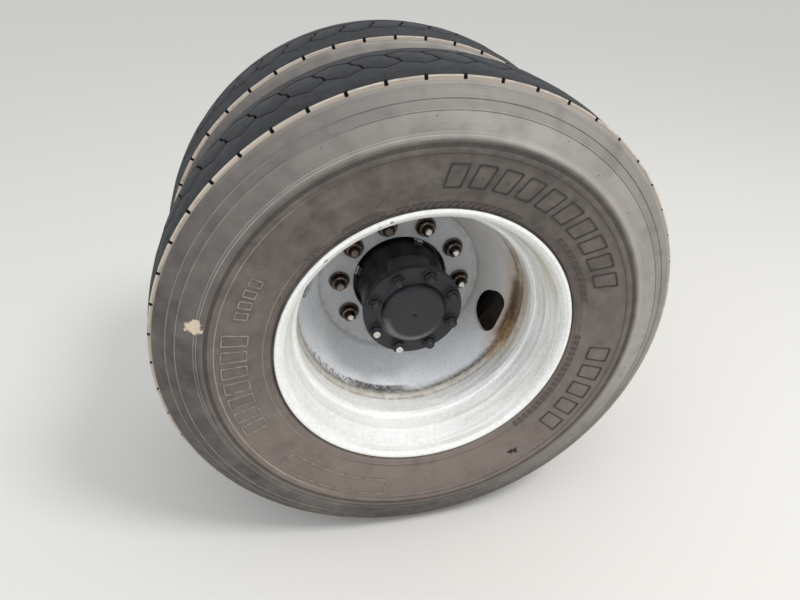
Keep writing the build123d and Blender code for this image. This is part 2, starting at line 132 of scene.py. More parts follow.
def layered(add, colour, layers):
    # Lays tones over a colour, one after the other. Each layer is its factors, multiplied, and its tone.
    # A factor is a number, a socket, [value, from, to] as a ramp, or (pattern, weakest, strongest)
    for *factors, tone in layers:
        amount = 1.0
        for factor in factors:
            if isinstance(factor, tuple):
                factor = [factor[0], 0, 1, *factor[1:]]
            if isinstance(factor, list):
                factor = add("MapRange", factor)
            amount = add("Math", [amount, factor], operation="MULTIPLY")
        colour = add("Mix", {0: amount, 6: colour, 7: tone}, out=2, data_type="RGBA")
    return colour


def wheelCoordinates(add, place):
    # Distance from the axle in metres, angle round it from the front, place along it
    flat = add("VectorMath", [place, (1, 0, 1)], operation="MULTIPLY")
    radius = add("VectorMath", [flat], out="Value", operation="LENGTH")
    x, y, z = (add("SeparateXYZ", [place], out=axis) for axis in range(3))
    return radius, add("Math", [z, x], operation="ARCTAN2"), y


def between(add, value, low, high, soft):
    # 1 from low to high and 0 outside, over a soft edge
    rise, fall = (add("MapRange", [value, outside, edge], interpolation_type="SMOOTHSTEP")
                  for outside, edge in ((low - soft, low), (high + soft, high)))
    return add("Math", [rise, fall], operation="MULTIPLY")


def sector(add, angle, first, last, soft):
    # The same round the axle, in degrees
    return between(add, angle, radians(first), radians(last), radians(soft))


def patches(add, place, size, low, high, detail=4.0, seed=0.0):
    # Clouds of a real size in mm, sharpened from low to high
    cloud = add("TexNoise", {"Vector": place, "W": seed, "Scale": 1 / (size * mm), "Detail": detail},
                noise_dimensions="4D")
    return add("MapRange", [cloud, low, high])


def streaks(add, first, firstScale, second, secondScale, detail, low, high):
    # Noise drawn out one way: each of two coordinates has its own scale
    scaled = [add("Math", [way, scale], operation="MULTIPLY")
              for way, scale in ((first, firstScale), (second, secondScale))]
    drawn = add("TexNoise", {"Vector": add("CombineXYZ", scaled), "Scale": 1.0, "Detail": detail})
    return add("MapRange", [drawn, low, high])


def fromBolts(add, radius, angle):
    # Distance in metres from the nearest of the wheel's bolts
    half = pi / disc["studs"]
    around = add("Math", [angle, radians(disc["firstStud"])], operation="SUBTRACT")
    around = add("Math", [around, half, -half], operation="WRAP")
    out = add("Math", [around], operation="COSINE")
    out = add("Math", [radius, out, -disc["studCircle"] * mm], operation="MULTIPLY_ADD")
    side = add("Math", [radius, add("Math", [around], operation="SINE")], operation="MULTIPLY")
    return add("VectorMath", [add("CombineXYZ", [out, side])], out="Value", operation="LENGTH")


def spotted(add, place, colour, spots):
    # Small ragged spots of another colour: radius, angle and y of each, its size in mm and its tone
    for radius, angle, along, size, tone in spots:
        centre = wheelPoint(radius, radians(angle), along)
        apart = add("VectorMath", [place, centre], out="Value", operation="DISTANCE")
        ragged = patches(add, place, size * 0.6, 0.3, 0.7, detail=6.0, seed=8.0)
        ragged = add("Math", [ragged, -0.8 * size * mm, apart], operation="MULTIPLY_ADD")
        shown = add("MapRange", [ragged, 0.65 * size * mm, 0.45 * size * mm])
        colour = layered(add, colour, [(shown, tone)])
    return colour


def wheelPoint(radius, angle, y):
    return radius * cos(angle) * mm, y * mm, radius * sin(angle) * mm


def onWheel(angle, radius, y):
    # The frame of a place on the wheel: degrees round the axle from the front, mm from it and along it
    return Matrix.Rotation(-radians(angle), 4, "Y") @ Matrix.Translation(Vector((radius, y, 0)) * mm)


def everything(bm):
    return bm.verts[:] + bm.edges[:] + bm.faces[:]


def spun(bm, geom, steps, angle=tau, copies=False):
    # Turns geom about the axle, as one skin or as copies
    bmesh.ops.spin(bm, geom=geom, cent=(0, 0, 0), axis=(0, 1, 0), dvec=(0, 0, 0), angle=angle, steps=steps,
                   use_merge=not copies, use_duplicate=copies)


def repeatRound(bm, geom, count):
    spun(bm, geom, count - 1, tau * (count - 1) / count, copies=True)


def bevelled(bm, geom, width, segments=2, affect="EDGES", clamp=False):
    bmesh.ops.bevel(bm, geom=geom, offset=width * mm, offset_type="OFFSET", segments=segments, profile=0.5,
                    affect=affect, material=-1, clamp_overlap=clamp)


def cone(bm, low, high, depth, segments, place):
    # A closed cone or cylinder: its two radii and its length in mm
    return bmesh.ops.create_cone(bm, cap_ends=True, segments=segments, radius1=low * mm, radius2=high * mm,
                                 depth=depth * mm, matrix=place)["verts"]


def lathe(points, steps, closed=True):
    # An outline of (radius, y) or (radius, y, round) spun about the axle
    bm = bmesh.new()
    verts = [bm.verts.new((point[0] * mm, point[1] * mm, 0)) for point in points]
    for first, second in zip(verts, verts[1:] + verts[:1] if closed else verts[1:]):
        bm.edges.new((first, second))
    corners = [vert.co.copy() for vert in verts]
    for number, point in enumerate(points):
        if len(point) > 2:
            before = corners[number - 1] - corners[number]
            after = corners[(number + 1) % len(points)] - corners[number]
            bevelled(bm, [verts[number]], point[2] / tan(before.angle(after) / 2), 5, "VERTICES")
    spun(bm, bm.verts[:] + bm.edges[:], steps)
    return bm


def toMesh(bm, name):
    mesh = bpy.data.meshes.new(name)
    bm.to_mesh(mesh)
    bm.free()
    return mesh


def addTo(whole, part):
    # Joins one bmesh to another and frees it
    mesh = toMesh(part, "part")
    whole.from_mesh(mesh)
    bpy.data.meshes.remove(mesh)


def cleaned(bm):
    bmesh.ops.remove_doubles(bm, verts=bm.verts, dist=0.002 * mm)
    bmesh.ops.recalc_face_normals(bm, faces=bm.faces)
    return bm


def makePiece(name, shape, material, slot, replaced=(), body="wheel", sharp=32):
    # One finished object from a bmesh or a mesh, with its material, its body and the nodes it replaces
    mesh = shape if isinstance(shape, bpy.types.Mesh) else toMesh(cleaned(shape), name)
    piece = bpy.data.objects.new(name, mesh)
    bpy.context.scene.collection.objects.link(piece)
    mesh.materials.clear()
    mesh.materials.append(material)
    mesh.shade_smooth()
    mesh.set_sharp_from_angle(angle=radians(sharp))
    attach(piece, body)
    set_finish(piece, slot)
    if replaced:
        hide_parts(*replaced)
    return piece


def twinOf(piece, name, replaced, turn=0.0):
    # The same piece turned round against the plane where the two wheels meet
    bm = bmesh.new()
    bm.from_mesh(piece.data)
    mirrored = Matrix.Translation((0, 2 * wheelPlane * mm, 0)) @ Matrix.Diagonal((1, -1, 1, 1))
    bmesh.ops.transform(bm, matrix=mirrored @ Matrix.Rotation(radians(turn), 4, "Y"), verts=bm.verts)
    bmesh.ops.reverse_faces(bm, faces=bm.faces)
    makePiece(name, toMesh(bm, name), piece.data.materials[0], piece["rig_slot"], replaced)


def edgesBroken(node, name, material, slot, width, body="wheel"):
    # A CAD node's own shape with its sharp edges broken by a small chamfer
    bm = bmesh.new()
    bm.from_mesh(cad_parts[node].data)
    bmesh.ops.remove_doubles(bm, verts=bm.verts, dist=0.01 * mm)
    bmesh.ops.dissolve_limit(bm, angle_limit=radians(0.5), verts=bm.verts, edges=bm.edges)
    sharpEdges = [e for e in bm.edges if len(e.link_faces) == 2 and e.calc_face_angle() > radians(38)]
    bevelled(bm, sharpEdges, width, clamp=True)
    makePiece(name, bm, material, slot, [node], body)


# Tyres
tyre = {
    "relief": 2.3,                    # how far the bare sidewall lies under the moulded marks' tops
    "wideRadius": 405.0,
    "lowerWall": (350.0, 7.0),        # radius, distance inside the widest part
    "lipEnd": (305.45, 114.8),        # radius, distance from the tyre's centre plane
    "bead": ((277.7, 73.5), (286.05, 104.5), (298.75, 111.3), (301.95, 108.4)),
    "upperWall": (470.0, 129.0),
    "shoulder": (515.0, 105.0),
    "strip": (508.0, 110.0),          # where the tread's edge strip meets the sidewall
    "mouldLine": ((509.2, 110.2), (508.6, 108.8)),  # the fine ridge that the mould leaves there
    "lining": ((335.0, 98.6), (372.0, 115.0), (405.0, 124.0), (445.0, 112.0), (481.0, 71.0), (491.0, 30.0)),
    "lowerRadii": (325, 338, 352, 366, 379, 392),   # where the walls and the floor of the tread bend
    "upperRadii": (440, 449, 458, 478, 494),
    "floorAcross": (104, 80, 50, 20),
    "steps": 208,
    # radius, height and half width of each moulded ring, and the run of its sides
    "rings": ((311.5, 0.8, 0.8), (316.5, 0.8, 0.8), (470.0, 1.1, 0.9), (486.0, 1.1, 0.9)),
    "ringSide": 0.7,
    "band": (404.0, 432.0, 1.0),      # raised band: from, to, height
    "knurl": {"count": 772, "from": 414.5, "to": 421.5, "wide": 1.7, "high": 0.4},
}
tread = {
    "pitches": 52,
    "firstPitch": 0.2456,
    "depth": 12.0,
    "groove": 4.5,
    "outerZigzag": ((0.57, -30.0), (1.05, -51.0), (1.57, -30.0)),  # pitches round, mm off the centre plane
    "innerZigzag": ((1.85, 30.0), (1.35, 51.0), (0.85, 30.0)),
    "lateral": ((0.64, -6.0), (0.76, 6.0)),
    "notchAt": 1.25,
    "notchWide": 6.5,
    "notchDeep": 8.0,
    "notchRound": 3.0,
    "edgeRound": 1.2,
    "sunk": 1.0,                      # how deep the blocks stand in the carcass
}


def circleThrough(first, second, third):
    # Centre and radius
    (ax, ay), (bx, by), (cx, cy) = first, second, third
    d = 2 * (ax * (by - cy) + bx * (cy - ay) + cx * (ay - by))
    a2, b2, c2 = ax * ax + ay * ay, bx * bx + by * by, cx * cx + cy * cy
    x = (a2 * (by - cy) + b2 * (cy - ay) + c2 * (ay - by)) / d
    y = (a2 * (cx - bx) + b2 * (ax - cx) + c2 * (bx - ax)) / d
    return x, y, sqrt((ax - x) ** 2 + (ay - y) ** 2)


wallWidth = tyreHalfWidth - tyre["relief"]
widest = (tyre["wideRadius"], wallWidth)
lowerArc = circleThrough(tyre["lipEnd"], (tyre["lowerWall"][0], wallWidth - tyre["lowerWall"][1]), widest)
upperArc = circleThrough(widest, tyre["upperWall"], tyre["shoulder"])


def sidewall(radius):
    # How far the bare sidewall stands from the tyre's centre plane
    x, y, r = lowerArc if radius < tyre["wideRadius"] else upperArc
    return y + sqrt(max(r * r - (radius - x) ** 2, 0))


def raised(radius, height):
    # A point standing off the sidewall, square to it
    slope = (sidewall(radius + 1) - sidewall(radius - 1)) / 2
    length = sqrt(1 + slope * slope)
    return radius - height * slope / length, sidewall(radius) + height / length


def crown(across):
    # Radius of the tread's top at a distance from the tyre's centre plane
    edgeRadius, edge = tyre["shoulder"]
    return crownRadius - (crownRadius - edgeRadius) * (across / edge) ** 2


def carcass():
    bandFrom, bandTo, bandHigh = tyre["band"]
    bandSteps = [bandFrom + (bandTo - bandFrom) * share for share in (0, 0.25, 0.5, 0.75, 1)]
    marked = [(radius, bandHigh) for radius in bandSteps]
    for radius in (tyre["lipEnd"][0], *tyre["lowerRadii"], bandFrom - 1, bandTo + 1, *tyre["upperRadii"],
                   tyre["strip"][0]):
        marked.append((radius, 0))
    for radius, high, half in tyre["rings"]:
        foot = half + tyre["ringSide"]
        marked += [(radius - foot, 0), (radius - half, high), (radius + half, high), (radius + foot, 0)]
    half = [*tyre["bead"], *(raised(radius, high) for radius, high in sorted(marked)), *tyre["mouldLine"]]
    half += [(crown(across) - tread["depth"], across) for across in tyre["floorAcross"]]
    lining = tyre["lining"]
    outline = [(r, tyreCentre - v) for r, v in half] + [(r, tyreCentre + v) for r, v in reversed(half)]
    outline += [(r, tyreCentre + v) for r, v in lining] + [(r, tyreCentre - v) for r, v in reversed(lining)]
    return lathe(outline, tyre["steps"])


def flatFace(bm, outline):
    # A face laid out flat: x runs round the tyre, y across it, z outwards
    face = bm.faces.new([bm.verts.new((x * mm, y * mm, 0)) for x, y in outline])
    bm.normal_update()
    return face


def raiseFaces(bm, faces, high, edgeRound=0.0):
    # Walls up from flat faces, with the top edges rounded; the bottom stays, so each is closed
    lifted = bmesh.ops.extrude_face_region(bm, geom=faces)["geom"]
    tops = [part for part in lifted if isinstance(part, bmesh.types.BMFace)]
    bmesh.ops.translate(bm, vec=(0, 0, high * mm), verts=list({v for face in tops for v in face.verts}))
    if edgeRound:
        rim = [edge for edge in {e for face in tops for e in face.edges}
               if sum(face in tops for face in edge.link_faces) == 1]
        bevelled(bm, rim, edgeRound, clamp=True)


def cutAcross(bm, step, first, last):
    # Cuts a flat layout every step mm, so that it can bend round the tyre
    for number in range(first, last):
        bmesh.ops.bisect_plane(bm, geom=everything(bm), plane_co=(number * step * mm, 0, 0),
                               plane_no=(1, 0, 0))


def treadPattern():
    pitch = tau * crownRadius / tread["pitches"]
    edge = tyre["shoulder"][1]
    half = tread["groove"] / 2
    wallHigh = tread["depth"] + tread["sunk"]

    def at(points, shift=0.0):
        return [(x * pitch, y + shift) for x, y in points]

    def stood(bm, edgeRound=0.0):
        # The flat layout cut four times a pitch, with its walls pulled down from the tread's top
        cutAcross(bm, pitch / 4, 2, 8)
        raiseFaces(bm, bm.faces[:], wallHigh, edgeRound)
        bmesh.ops.translate(bm, vec=(0, 0, -wallHigh * mm), verts=bm.verts)

    whole = bmesh.new()
    nextLateral = [(x + 1, y) for x, y in reversed(tread["lateral"])]
    outerZigzag, innerZigzag = tread["outerZigzag"], tread["innerZigzag"]
    block = at([outerZigzag[0], *tread["lateral"], *reversed(innerZigzag), *nextLateral, *outerZigzag[:0:-1]])
    border = bmesh.ops.inset_individual(whole, faces=[flatFace(whole, block)], thickness=half * mm,
                                        use_even_offset=True)["faces"]
    bmesh.ops.delete(whole, geom=border, context="FACES")
    stood(whole, tread["edgeRound"])

    for side, zigzag in ((-1, outerZigzag), (1, innerZigzag)):
        inner = at(zigzag, side * half * 1.2)
        notch, wide = tread["notchAt"] * pitch, side * tread["notchWide"] / 2
        deep = edge - tread["notchDeep"]
        outer = [(inner[-1][0], edge), (notch - wide, edge), (notch - wide * 0.8, deep),
                 (notch + wide * 0.8, deep), (notch + wide, edge), (inner[0][0], edge)]
        rib = bmesh.new()
        face = flatFace(rib, inner + [(x, side * y) for x, y in outer])
        floorCorners = [v for v in face.verts if abs(abs(v.co.y) - deep * mm) < 1e-7]
        bevelled(rib, floorCorners, tread["notchRound"], 3, "VERTICES")
        stood(rib)
        for end in (inner[0][0] * mm, inner[-1][0] * mm):
            endWalls = [f for f in rib.faces if all(abs(v.co.x - end) < 1e-6 for v in f.verts)]
            bmesh.ops.delete(rib, geom=endWalls, context="FACES")
        topEdges = [e for e in rib.edges if all(abs(v.co.z) < 1e-7 for v in e.verts)
                    and len(e.link_faces) == 2 and e.calc_face_angle() > 1]
        bevelled(rib, topEdges, tread["edgeRound"], clamp=True)
        addTo(whole, rib)

    for vert in whole.verts:
        x, y, z = (value / mm for value in vert.co)
        radius = crown(y) + z
        if abs(y) > edge - 0.8 and z < -1:
            y *= tyre["strip"][1] / edge  # the edge strip slopes out to the sidewall
        angle = x / crownRadius + tread["firstPitch"] * tau / tread["pitches"]
        vert.co = wheelPoint(radius, angle, tyreCentre + y)
    repeatRound(whole, everything(whole), tread["pitches"])
    return whole


# Moulded marks on the sidewall: plain panels and rows of outlined bars, with nothing written
marks = {
    "line": 2.4,                       # width of a moulded outline
    "high": 1.5,
    "sunk": 0.5,
    "bend": 15.0,                      # longest straight run round the tyre
    "barRound": 2.5,
    # from and to, degrees round from the front, then the radii and the corner's round
    "panels": ((-142.0, -103.0, 352.0, 393.0, 12.0), (107.0, 121.7, 303.0, 321.0, 8.5)),
    # from and to in degrees, the radii, how many bars, how much of its pitch each fills, its slant in mm
    "rows": (
        (91.0, 19.0, 342.0, 387.0, 10, 0.72, 9.0),
        (-3.5, -41.5, 345.0, 390.0, 5, 0.70, 0.0),
        (203.0, 164.8, 346.0, 393.0, 7, 0.70, 0.0),
        (161.0, 146.5, 356.0, 380.0, 4, 0.68, 0.0),
    ),
    "smallRows": (
        (104.8, 61.0, 304.0, 314.0, 17, 0.62, 4.0),
        (45.0, 14.2, 316.5, 328.0, 11, 0.62, 0.0),
        (0.0, -49.0, 310.0, 322.0, 19, 0.62, 0.0),
        (136.5, 129.5, 313.0, 321.5, 4, 0.6, 0.0),
        (120.0, 109.0, 307.0, 317.0, 6, 0.6, 0.0),
    ),
    "nubs": 40,
    "nubHigh": 2.0,
    "nubWide": 1.3,
    "nubRadii": (332, 362, 398, 446, 462),
}


def addMark(whole, start, outline, corner=0.0, solid=False):
    # Raises one shape off the sidewall: x is mm round the tyre from start degrees, y is the radius
    part = bmesh.new()
    middle = sum(y for x, y in outline) / len(outline)
    flatFace(part, outline)
    if corner:
        bevelled(part, part.verts[:], corner, 5, "VERTICES")
    if not solid:
        part.normal_update()
        line = bmesh.ops.inset_region(part, faces=part.faces[:], thickness=marks["line"] * mm,
                                      use_even_offset=True, use_boundary=True)["faces"]
        bmesh.ops.delete(part, geom=[f for f in part.faces if f not in line], context="FACES")
    first, last = (int(end([x for x, y in outline]) // marks["bend"]) + 1 for end in (min, max))
    cutAcross(part, marks["bend"], first, last)
    raiseFaces(part, part.faces[:], marks["high"] + marks["sunk"])
    for vert in part.verts:
        radius, across = raised(vert.co.y / mm, vert.co.z / mm - marks["sunk"])
        vert.co = wheelPoint(radius, radians(start) + vert.co.x / mm / middle, tyreCentre - across)
    addTo(whole, part)


def sidewallMarks():
    whole = bmesh.new()
    for start, end, low, high, corner in marks["panels"]:
        length = radians(end - start) * (low + high) / 2
        addMark(whole, start, ((0, low), (length, low), (length, high), (0, high)), corner)
    for rows, corner in ((marks["rows"], marks["barRound"]), (marks["smallRows"], 0)):
        for start, end, low, high, count, share, slant in rows:
            wide = radians(start - end) * (low + high) / 2 / count * share
            outline = ((0, low), (wide, low), (wide - slant, high), (-slant, high))
            for number in range(count):
                angle = end + (start - end) * (number + (1 - share) / 2) / count
                addMark(whole, angle, outline, corner, solid=not corner)
    chance = random.Random(3)
    for number in range(marks["nubs"]):
        angle = number * 360 / marks["nubs"] + chance.uniform(-3, 3)
        radius = chance.choice(marks["nubRadii"])
        across = tyreCentre - sidewall(radius) - marks["nubHigh"] / 2 + 0.3
        cone(whole, marks["nubWide"] / 2, marks["nubWide"] / 2.6, marks["nubHigh"], 6,
             onWheel(angle, radius, across) @ outwards)
    knurl = tyre["knurl"]
    radius = (knurl["from"] + knurl["to"]) / 2
    place = onWheel(0, radius, tyreCentre - sidewall(radius) - tyre["band"][2])
    size = Vector((knurl["to"] - knurl["from"], 2 * knurl["high"], knurl["wide"])) * mm
    bar = bmesh.ops.create_cube(whole, size=1, matrix=place @ Matrix.Diagonal(size.to_4d()))["verts"]
    skin = {part for v in bar for part in (*v.link_edges, *v.link_faces)}
    repeatRound(whole, bar + list(skin), knurl["count"])
    return whole


def mouldedRubber():
    # Vulcanised rubber, moulded: near-black with road dust baked on, matt, finely grained
    material, add, place = startMaterial("mouldedRubber", "5E5853", 0.8)
    radius, angle, along = wheelCoordinates(add, place)
    frontwards, upwards = (add("SeparateXYZ", [place], out=axis) for axis in (0, 2))
    across = along
    for middle in (wheelPlane, wheelPlane - tyreCentre):
        # folded twice, so that it runs from the nearer tyre's centre plane
        across = add("Math", [across, middle * mm], operation="SUBTRACT")
        across = add("Math", [across], operation="ABSOLUTE")

    cloudy = patches(add, place, 130, 0.35, 0.7)
    mottled = patches(add, place, 18, 0.35, 0.7, seed=3.0)
    scuffed = patches(add, place, 30, 0.42, 0.72, detail=10.0, seed=11.0)
    stained = patches(add, place, 45, 0.5, 0.72, detail=8.0, seed=12.0)
    scrubbed = streaks(add, radius, 500.0, angle, 2.2, 3.0, 0.3, 0.7)
    paintedLightAtBack = add("MapRange", [frontwards, -0.12, -0.28])
    top = between(add, radius, 0.4985, 0.6, 0.0015)
    outside = add("MapRange", [across, 0.1045, 0.1060])
    # darker towards the top and lighter towards the bottom; the wall above the band is lighter towards the
    # top and front, painted light over dust, and darker towards the back, painted shade
    lowerWall = layered(add, "5A524D", (
        (cloudy, "6C625C"),
        ([upwards, -0.05, 0.32], 0.62, "3E3936"),
        ([upwards, -0.05, -0.32], 0.4, "8E7C72"),
        (mottled, 0.4, "7E756D")))
    paintedLightAndDust = add("Math", [upwards, 0.7, frontwards], operation="MULTIPLY_ADD")
    upperWall = layered(add, "3E3A37", (
        ([paintedLightAndDust, -0.25, 0.42], "A29E98"),
        (cloudy, 0.5, "7B7671")))
    layers = [
        (between(add, radius, 0.431, 0.512, 0.008), upperWall),
        # a darker band high on the wall under the shoulder: painted shade
        (between(add, radius, 0.471, 0.503, 0.001), 0.3, "4A4442"),
        (stained, 0.36, "443E3A"),
        (scuffed, 0.28, "8B827A"),
        (scrubbed, 0.16, "454140")]
    # lines along the moulded ribs, pale towards the back as painted light on dust and dark towards the front
    # as painted shade; two pale lines along the raised band's outer edge are painted highlights on dust
    ribLightAndShade = layered(add, "38332F", [(paintedLightAtBack, "A79C8F")])
    for rib, shown, tone in ((403.4, 0.9, ribLightAndShade), (433.0, 0.6, "ACA8A1"), (437.5, 0.45, "ACA8A1"),
                             (468.4, 0.6, ribLightAndShade), (484.4, 0.6, ribLightAndShade), (318.6, 0.5, ribLightAndShade)):
        edge = between(add, radius, (rib - 0.5) * mm, (rib + 0.5) * mm, 0.7 * mm)
        layers.append((edge, (mottled, shown * 0.5, shown), tone))
    # the tread's top is nearly black; its edge strip has dried dust, paler towards the back as painted light,
    # a pale line along its crest as a painted highlight, and a clean mould line
    treadTop = layered(add, "111317", [(cloudy, "1D2025")])
    stripDustAndLight = layered(add, "978C81", [(paintedLightAtBack, "AEA295")])
    layers += [
        (top, [across, 0.1072, 0.1055], treadTop),
        (between(add, radius, 0.5095, 0.530, 0.0008), outside, patches(add, place, 25, 0.1, 0.45, seed=5.0),
         stripDustAndLight),
        (between(add, across, 0.1046, 0.1056, 0.0005), top, (mottled, 0.4, 0.9), "CFC6BA"),
        (between(add, radius, 0.5082, 0.5095, 0.0005), outside, 0.7, "A99C8F")]
    # a scuff that has worn through to pale dust, and a spot of tar, both on the outboard wall
    colour = spotted(add, place, layered(add, lowerWall, layers), (
        (440, 164.2, tyreFrom, 15, "CDBCA6"),
        (369, -56.2, tyreFrom, 9, "171514"),
        (371, -54.6, tyreFrom, 8, "1B1817")))
    grain = add("TexNoise", {"Vector": place, "Scale": 1 / (1.5 * mm), "Detail": 3.0})
    relief = add("Math", [scrubbed, 0.384, grain], operation="MULTIPLY_ADD")
    return finishMaterial(material, add, colour, (mottled, 0.66, 0.84), relief)


def markRubber():
    # The same rubber where it stands proud: rubbed clean and dark, and paler at the back and below as painted
    # light over dust
    material, add, place = startMaterial("rubbedRubber", "3A3634", 0.7)
    radius = wheelCoordinates(add, place)[0]
    paintedLightBackAndBelow = add("VectorMath", [place, (1.0, 0.0, 0.6)], out="Value", operation="DOT_PRODUCT")
    wornAndHighlight = patches(add, place, 12, 0.3, 0.7, seed=6.0)
    colour = layered(add, "292523", (
        (wornAndHighlight, "3C3734"),
        # paler towards the back and below: painted light over dust
        ([paintedLightBackAndBelow, -0.02, -0.22], (wornAndHighlight, 0.4, 1.0), "968C82"),
        (between(add, radius, 0.4135, 0.4225, 0.0005), "35312F"),
        ([radius, 0.331, 0.329], 0.75, "554C47")))
    grain = add("TexNoise", {"Vector": place, "Scale": 1 / (1.5 * mm), "Detail": 3.0})
    return finishMaterial(material, add, colour, relief=grain)


rubber = mouldedRubber()
outerTyre = makePiece("outerTyre", carcass(), rubber, "tyre_rubber", ["tyre_outer"], sharp=50)
outerTread = makePiece("outerTread", treadPattern(), rubber, "tyre_rubber", ["tyre_outer"])
outerMarks = makePiece("outerTyreMarks", sidewallMarks(), markRubber(), "tyre_rubber", ["tyre_outer"])
twinOf(outerTyre, "innerTyre", ["tyre_inner"])
twinOf(outerTread, "innerTread", ["tyre_inner"], turn=2.4)
twinOf(outerMarks, "innerTyreMarks", ["tyre_inner"], turn=77)
print("tyres made")


# Rims and discs, each in (radius, distance, round)
rim = {
    "lip": 7.0, "flangeTop": 6.0, "flangeWidth": 13.0, "seatRadius": 285.75, "taper": 15.0, "wall": 6.0,
    "wellDepth": 29.75, "wellFrom": 97.0, "wellWide": 75.0, "wellSlope": 9.0, "wellRound": 12.0,
    "heelRound": 6.5, "lipRound": 2.9, "steps": 208,
    "crease": (57.0, 0.5, 2.5),        # a rolling mark in the barrel: from the lip, height, half width
}
disc = {
    "boreRadius": 110.05, "thick": 11.0, "flatRadius": 177.0, "flatRound": 5.0, "valleyOut": 9.0,
    "valleyDrop": 4.0, "valleyRound": 8.0, "slopeEnd": 119.0, "slopeEndRound": 14.0, "slopeThick": 8.5,
    "edgeEnd": 131.0, "edgeThick": 6.0, "seatGap": 0.3, "steps": 208, "rolledEdge": 2.0,
    "studCircle": 142.875, "studs": 10, "firstStud": 31.7, "studHole": 13.0,
    "handHoles": (-18.2, 161.8), "holeFromEnd": 60.0, "holeBase": 134.0, "holeHeight": 149.0,
    "holeTop": 38.0, "holeCornerRadius": 26.0, "holeFootRadius": 49.0,
}
weld = {
    "leg": 14.0, "overlap": 2.5, "crest": 2.6, "steps": 1360,
    "ripple": (4.6, 0.35),                # length and height
    "lumps": ((9.0, 0.9), (3.0, 0.35)),   # size and height
}
wellRadius = rim["seatRadius"] - rim["wellDepth"]
discEdge = wellRadius - rim["wall"] - disc["seatGap"]
slopeStart = (disc["flatRadius"] + disc["valleyOut"], disc["thick"] - disc["valleyDrop"])
slopeEnd = (discEdge - disc["edgeThick"], disc["slopeEnd"])
slopeOut, slopeUp = slopeEnd[0] - slopeStart[0], slopeEnd[1] - slopeStart[1]
slopeLength = sqrt(slopeOut ** 2 + slopeUp ** 2)


def rimOutline():
    width = 2 * rimHalfWidth
    slope = tan(radians(rim["taper"]))
    wall = rim["wall"] / cos(radians(rim["taper"]))
    half, heel = rim["wall"] / 2, rim["flangeWidth"]
    lipRound, heelRound, wellRound = rim["lipRound"], rim["heelRound"], rim["wellRound"]

    def seat(distance):
        return rim["seatRadius"] - (distance - heel) * slope

    def side(well):
        # From one edge to the well, outside and then inside
        toe = well - rim["wellSlope"]
        outside = [(rimFlangeRadius, 0, lipRound), (rimFlangeRadius, rim["flangeTop"], lipRound),
                   (rim["seatRadius"], heel, heelRound), (seat(toe), toe, wellRound),
                   (wellRadius, well, wellRound)]
        return outside, [
            (rimFlangeRadius - rim["lip"], 0, lipRound), (rim["seatRadius"] - wall, heel, heelRound),
            (seat(toe - half) - wall, toe - half, wellRound),
            (wellRadius - rim["wall"], well - half, wellRound)]

    outer, inner = side(rim["wellFrom"])
    farOuter, farInner = ([(r, width - s, bend) for r, s, bend in points]
                          for points in side(width - rim["wellFrom"] - rim["wellWide"]))
    crease, high, halfWide = rim["crease"]
    inner[2:2] = [(seat(crease + shift * halfWide) - wall - up, crease + shift * halfWide)
                  for shift, up in ((-1, 0), (-0.4, high), (0.4, high), (1, 0))]
    points = outer + farOuter[::-1] + farInner + inner[::-1]
    return [(r, lipPlane + s, *rest) for r, s, *rest in points]


def slopeRadius(rise, off):
    # Radius of the disc's slope at a height over the mating face, moved off it towards the axle
    return slopeStart[0] + (rise - slopeStart[1]) * slopeOut / slopeUp - off * slopeLength / slopeUp


def discOutline():
    back = -disc["slopeThick"]
    edgeStart = slopeStart[1] + (discEdge - slopeRadius(slopeStart[1], back)) * slopeUp / slopeOut
    points = [
        (disc["boreRadius"], 0, 1.0), (slopeRadius(0, back), 0, disc["valleyRound"] + disc["slopeThick"]),
        (discEdge, edgeStart, disc["slopeEndRound"] - disc["edgeThick"]), (discEdge, disc["edgeEnd"]),
        (slopeEnd[0], disc["edgeEnd"]), (*slopeEnd, disc["slopeEndRound"]),
        (*slopeStart, disc["valleyRound"]), (disc["flatRadius"], disc["thick"], disc["flatRound"]),
        (disc["boreRadius"], disc["thick"], 1.5),
    ]
    return [(r, wheelPlane - d, *rest) for r, d, *rest in points]


def handHoleCutter(angle):
    # A three-cornered punch square to the disc's slope, its foot towards the hub: a hull round three posts
    punch = bmesh.new()
    top, half, high = disc["holeTop"], disc["holeBase"] / 2, disc["holeHeight"]
    cornerRadius, footRadius = disc["holeCornerRadius"], disc["holeFootRadius"]
    footHalf = atan(half / high)
    cornerX, cornerY = half - cornerRadius / tan((pi / 2 - footHalf) / 2), top - cornerRadius
    footY = top - high + footRadius / sin(footHalf)
    for x, y, radius in ((0, footY, footRadius), (cornerX, cornerY, cornerRadius),
                         (-cornerX, cornerY, cornerRadius)):
        cone(punch, radius, radius, 8 * disc["slopeThick"], 72, Matrix.Translation(Vector((x, y, 0)) * mm))
        if x == 0:
            # only the lower half of the foot's post counts
            bmesh.ops.bisect_plane(punch, geom=everything(punch), plane_co=(0, footY * mm, 0),
                                   plane_no=(0, 1, 0), clear_outer=True)
    hull = bmesh.ops.convex_hull(punch, input=punch.verts[:], use_existing_faces=False)
    kept = {item for item in hull["geom"] if isinstance(item, bmesh.types.BMFace)}
    bmesh.ops.delete(punch, geom=[face for face in punch.faces if face not in kept], context="FACES")
    bmesh.ops.delete(punch, geom=[vert for vert in punch.verts if not vert.link_faces], context="VERTS")
    bmesh.ops.recalc_face_normals(punch, faces=punch.faces)
    out = Vector((cos(radians(angle)), 0, sin(radians(angle))))
    uphill = (out * slopeOut - Vector((0, slopeUp, 0))).normalized()
    normal = (out * slopeUp + Vector((0, slopeOut, 0))).normalized()
    rise = slopeEnd[1] - disc["holeFromEnd"] * slopeUp / slopeLength
    centre = (out * slopeRadius(rise, 0) + Vector((0, wheelPlane - rise, 0))) * mm
    turned = Matrix((uphill.cross(normal), uphill, normal)).transposed().to_4x4()
    bmesh.ops.transform(punch, matrix=Matrix.Translation(centre) @ turned, verts=punch.verts)
    return punch


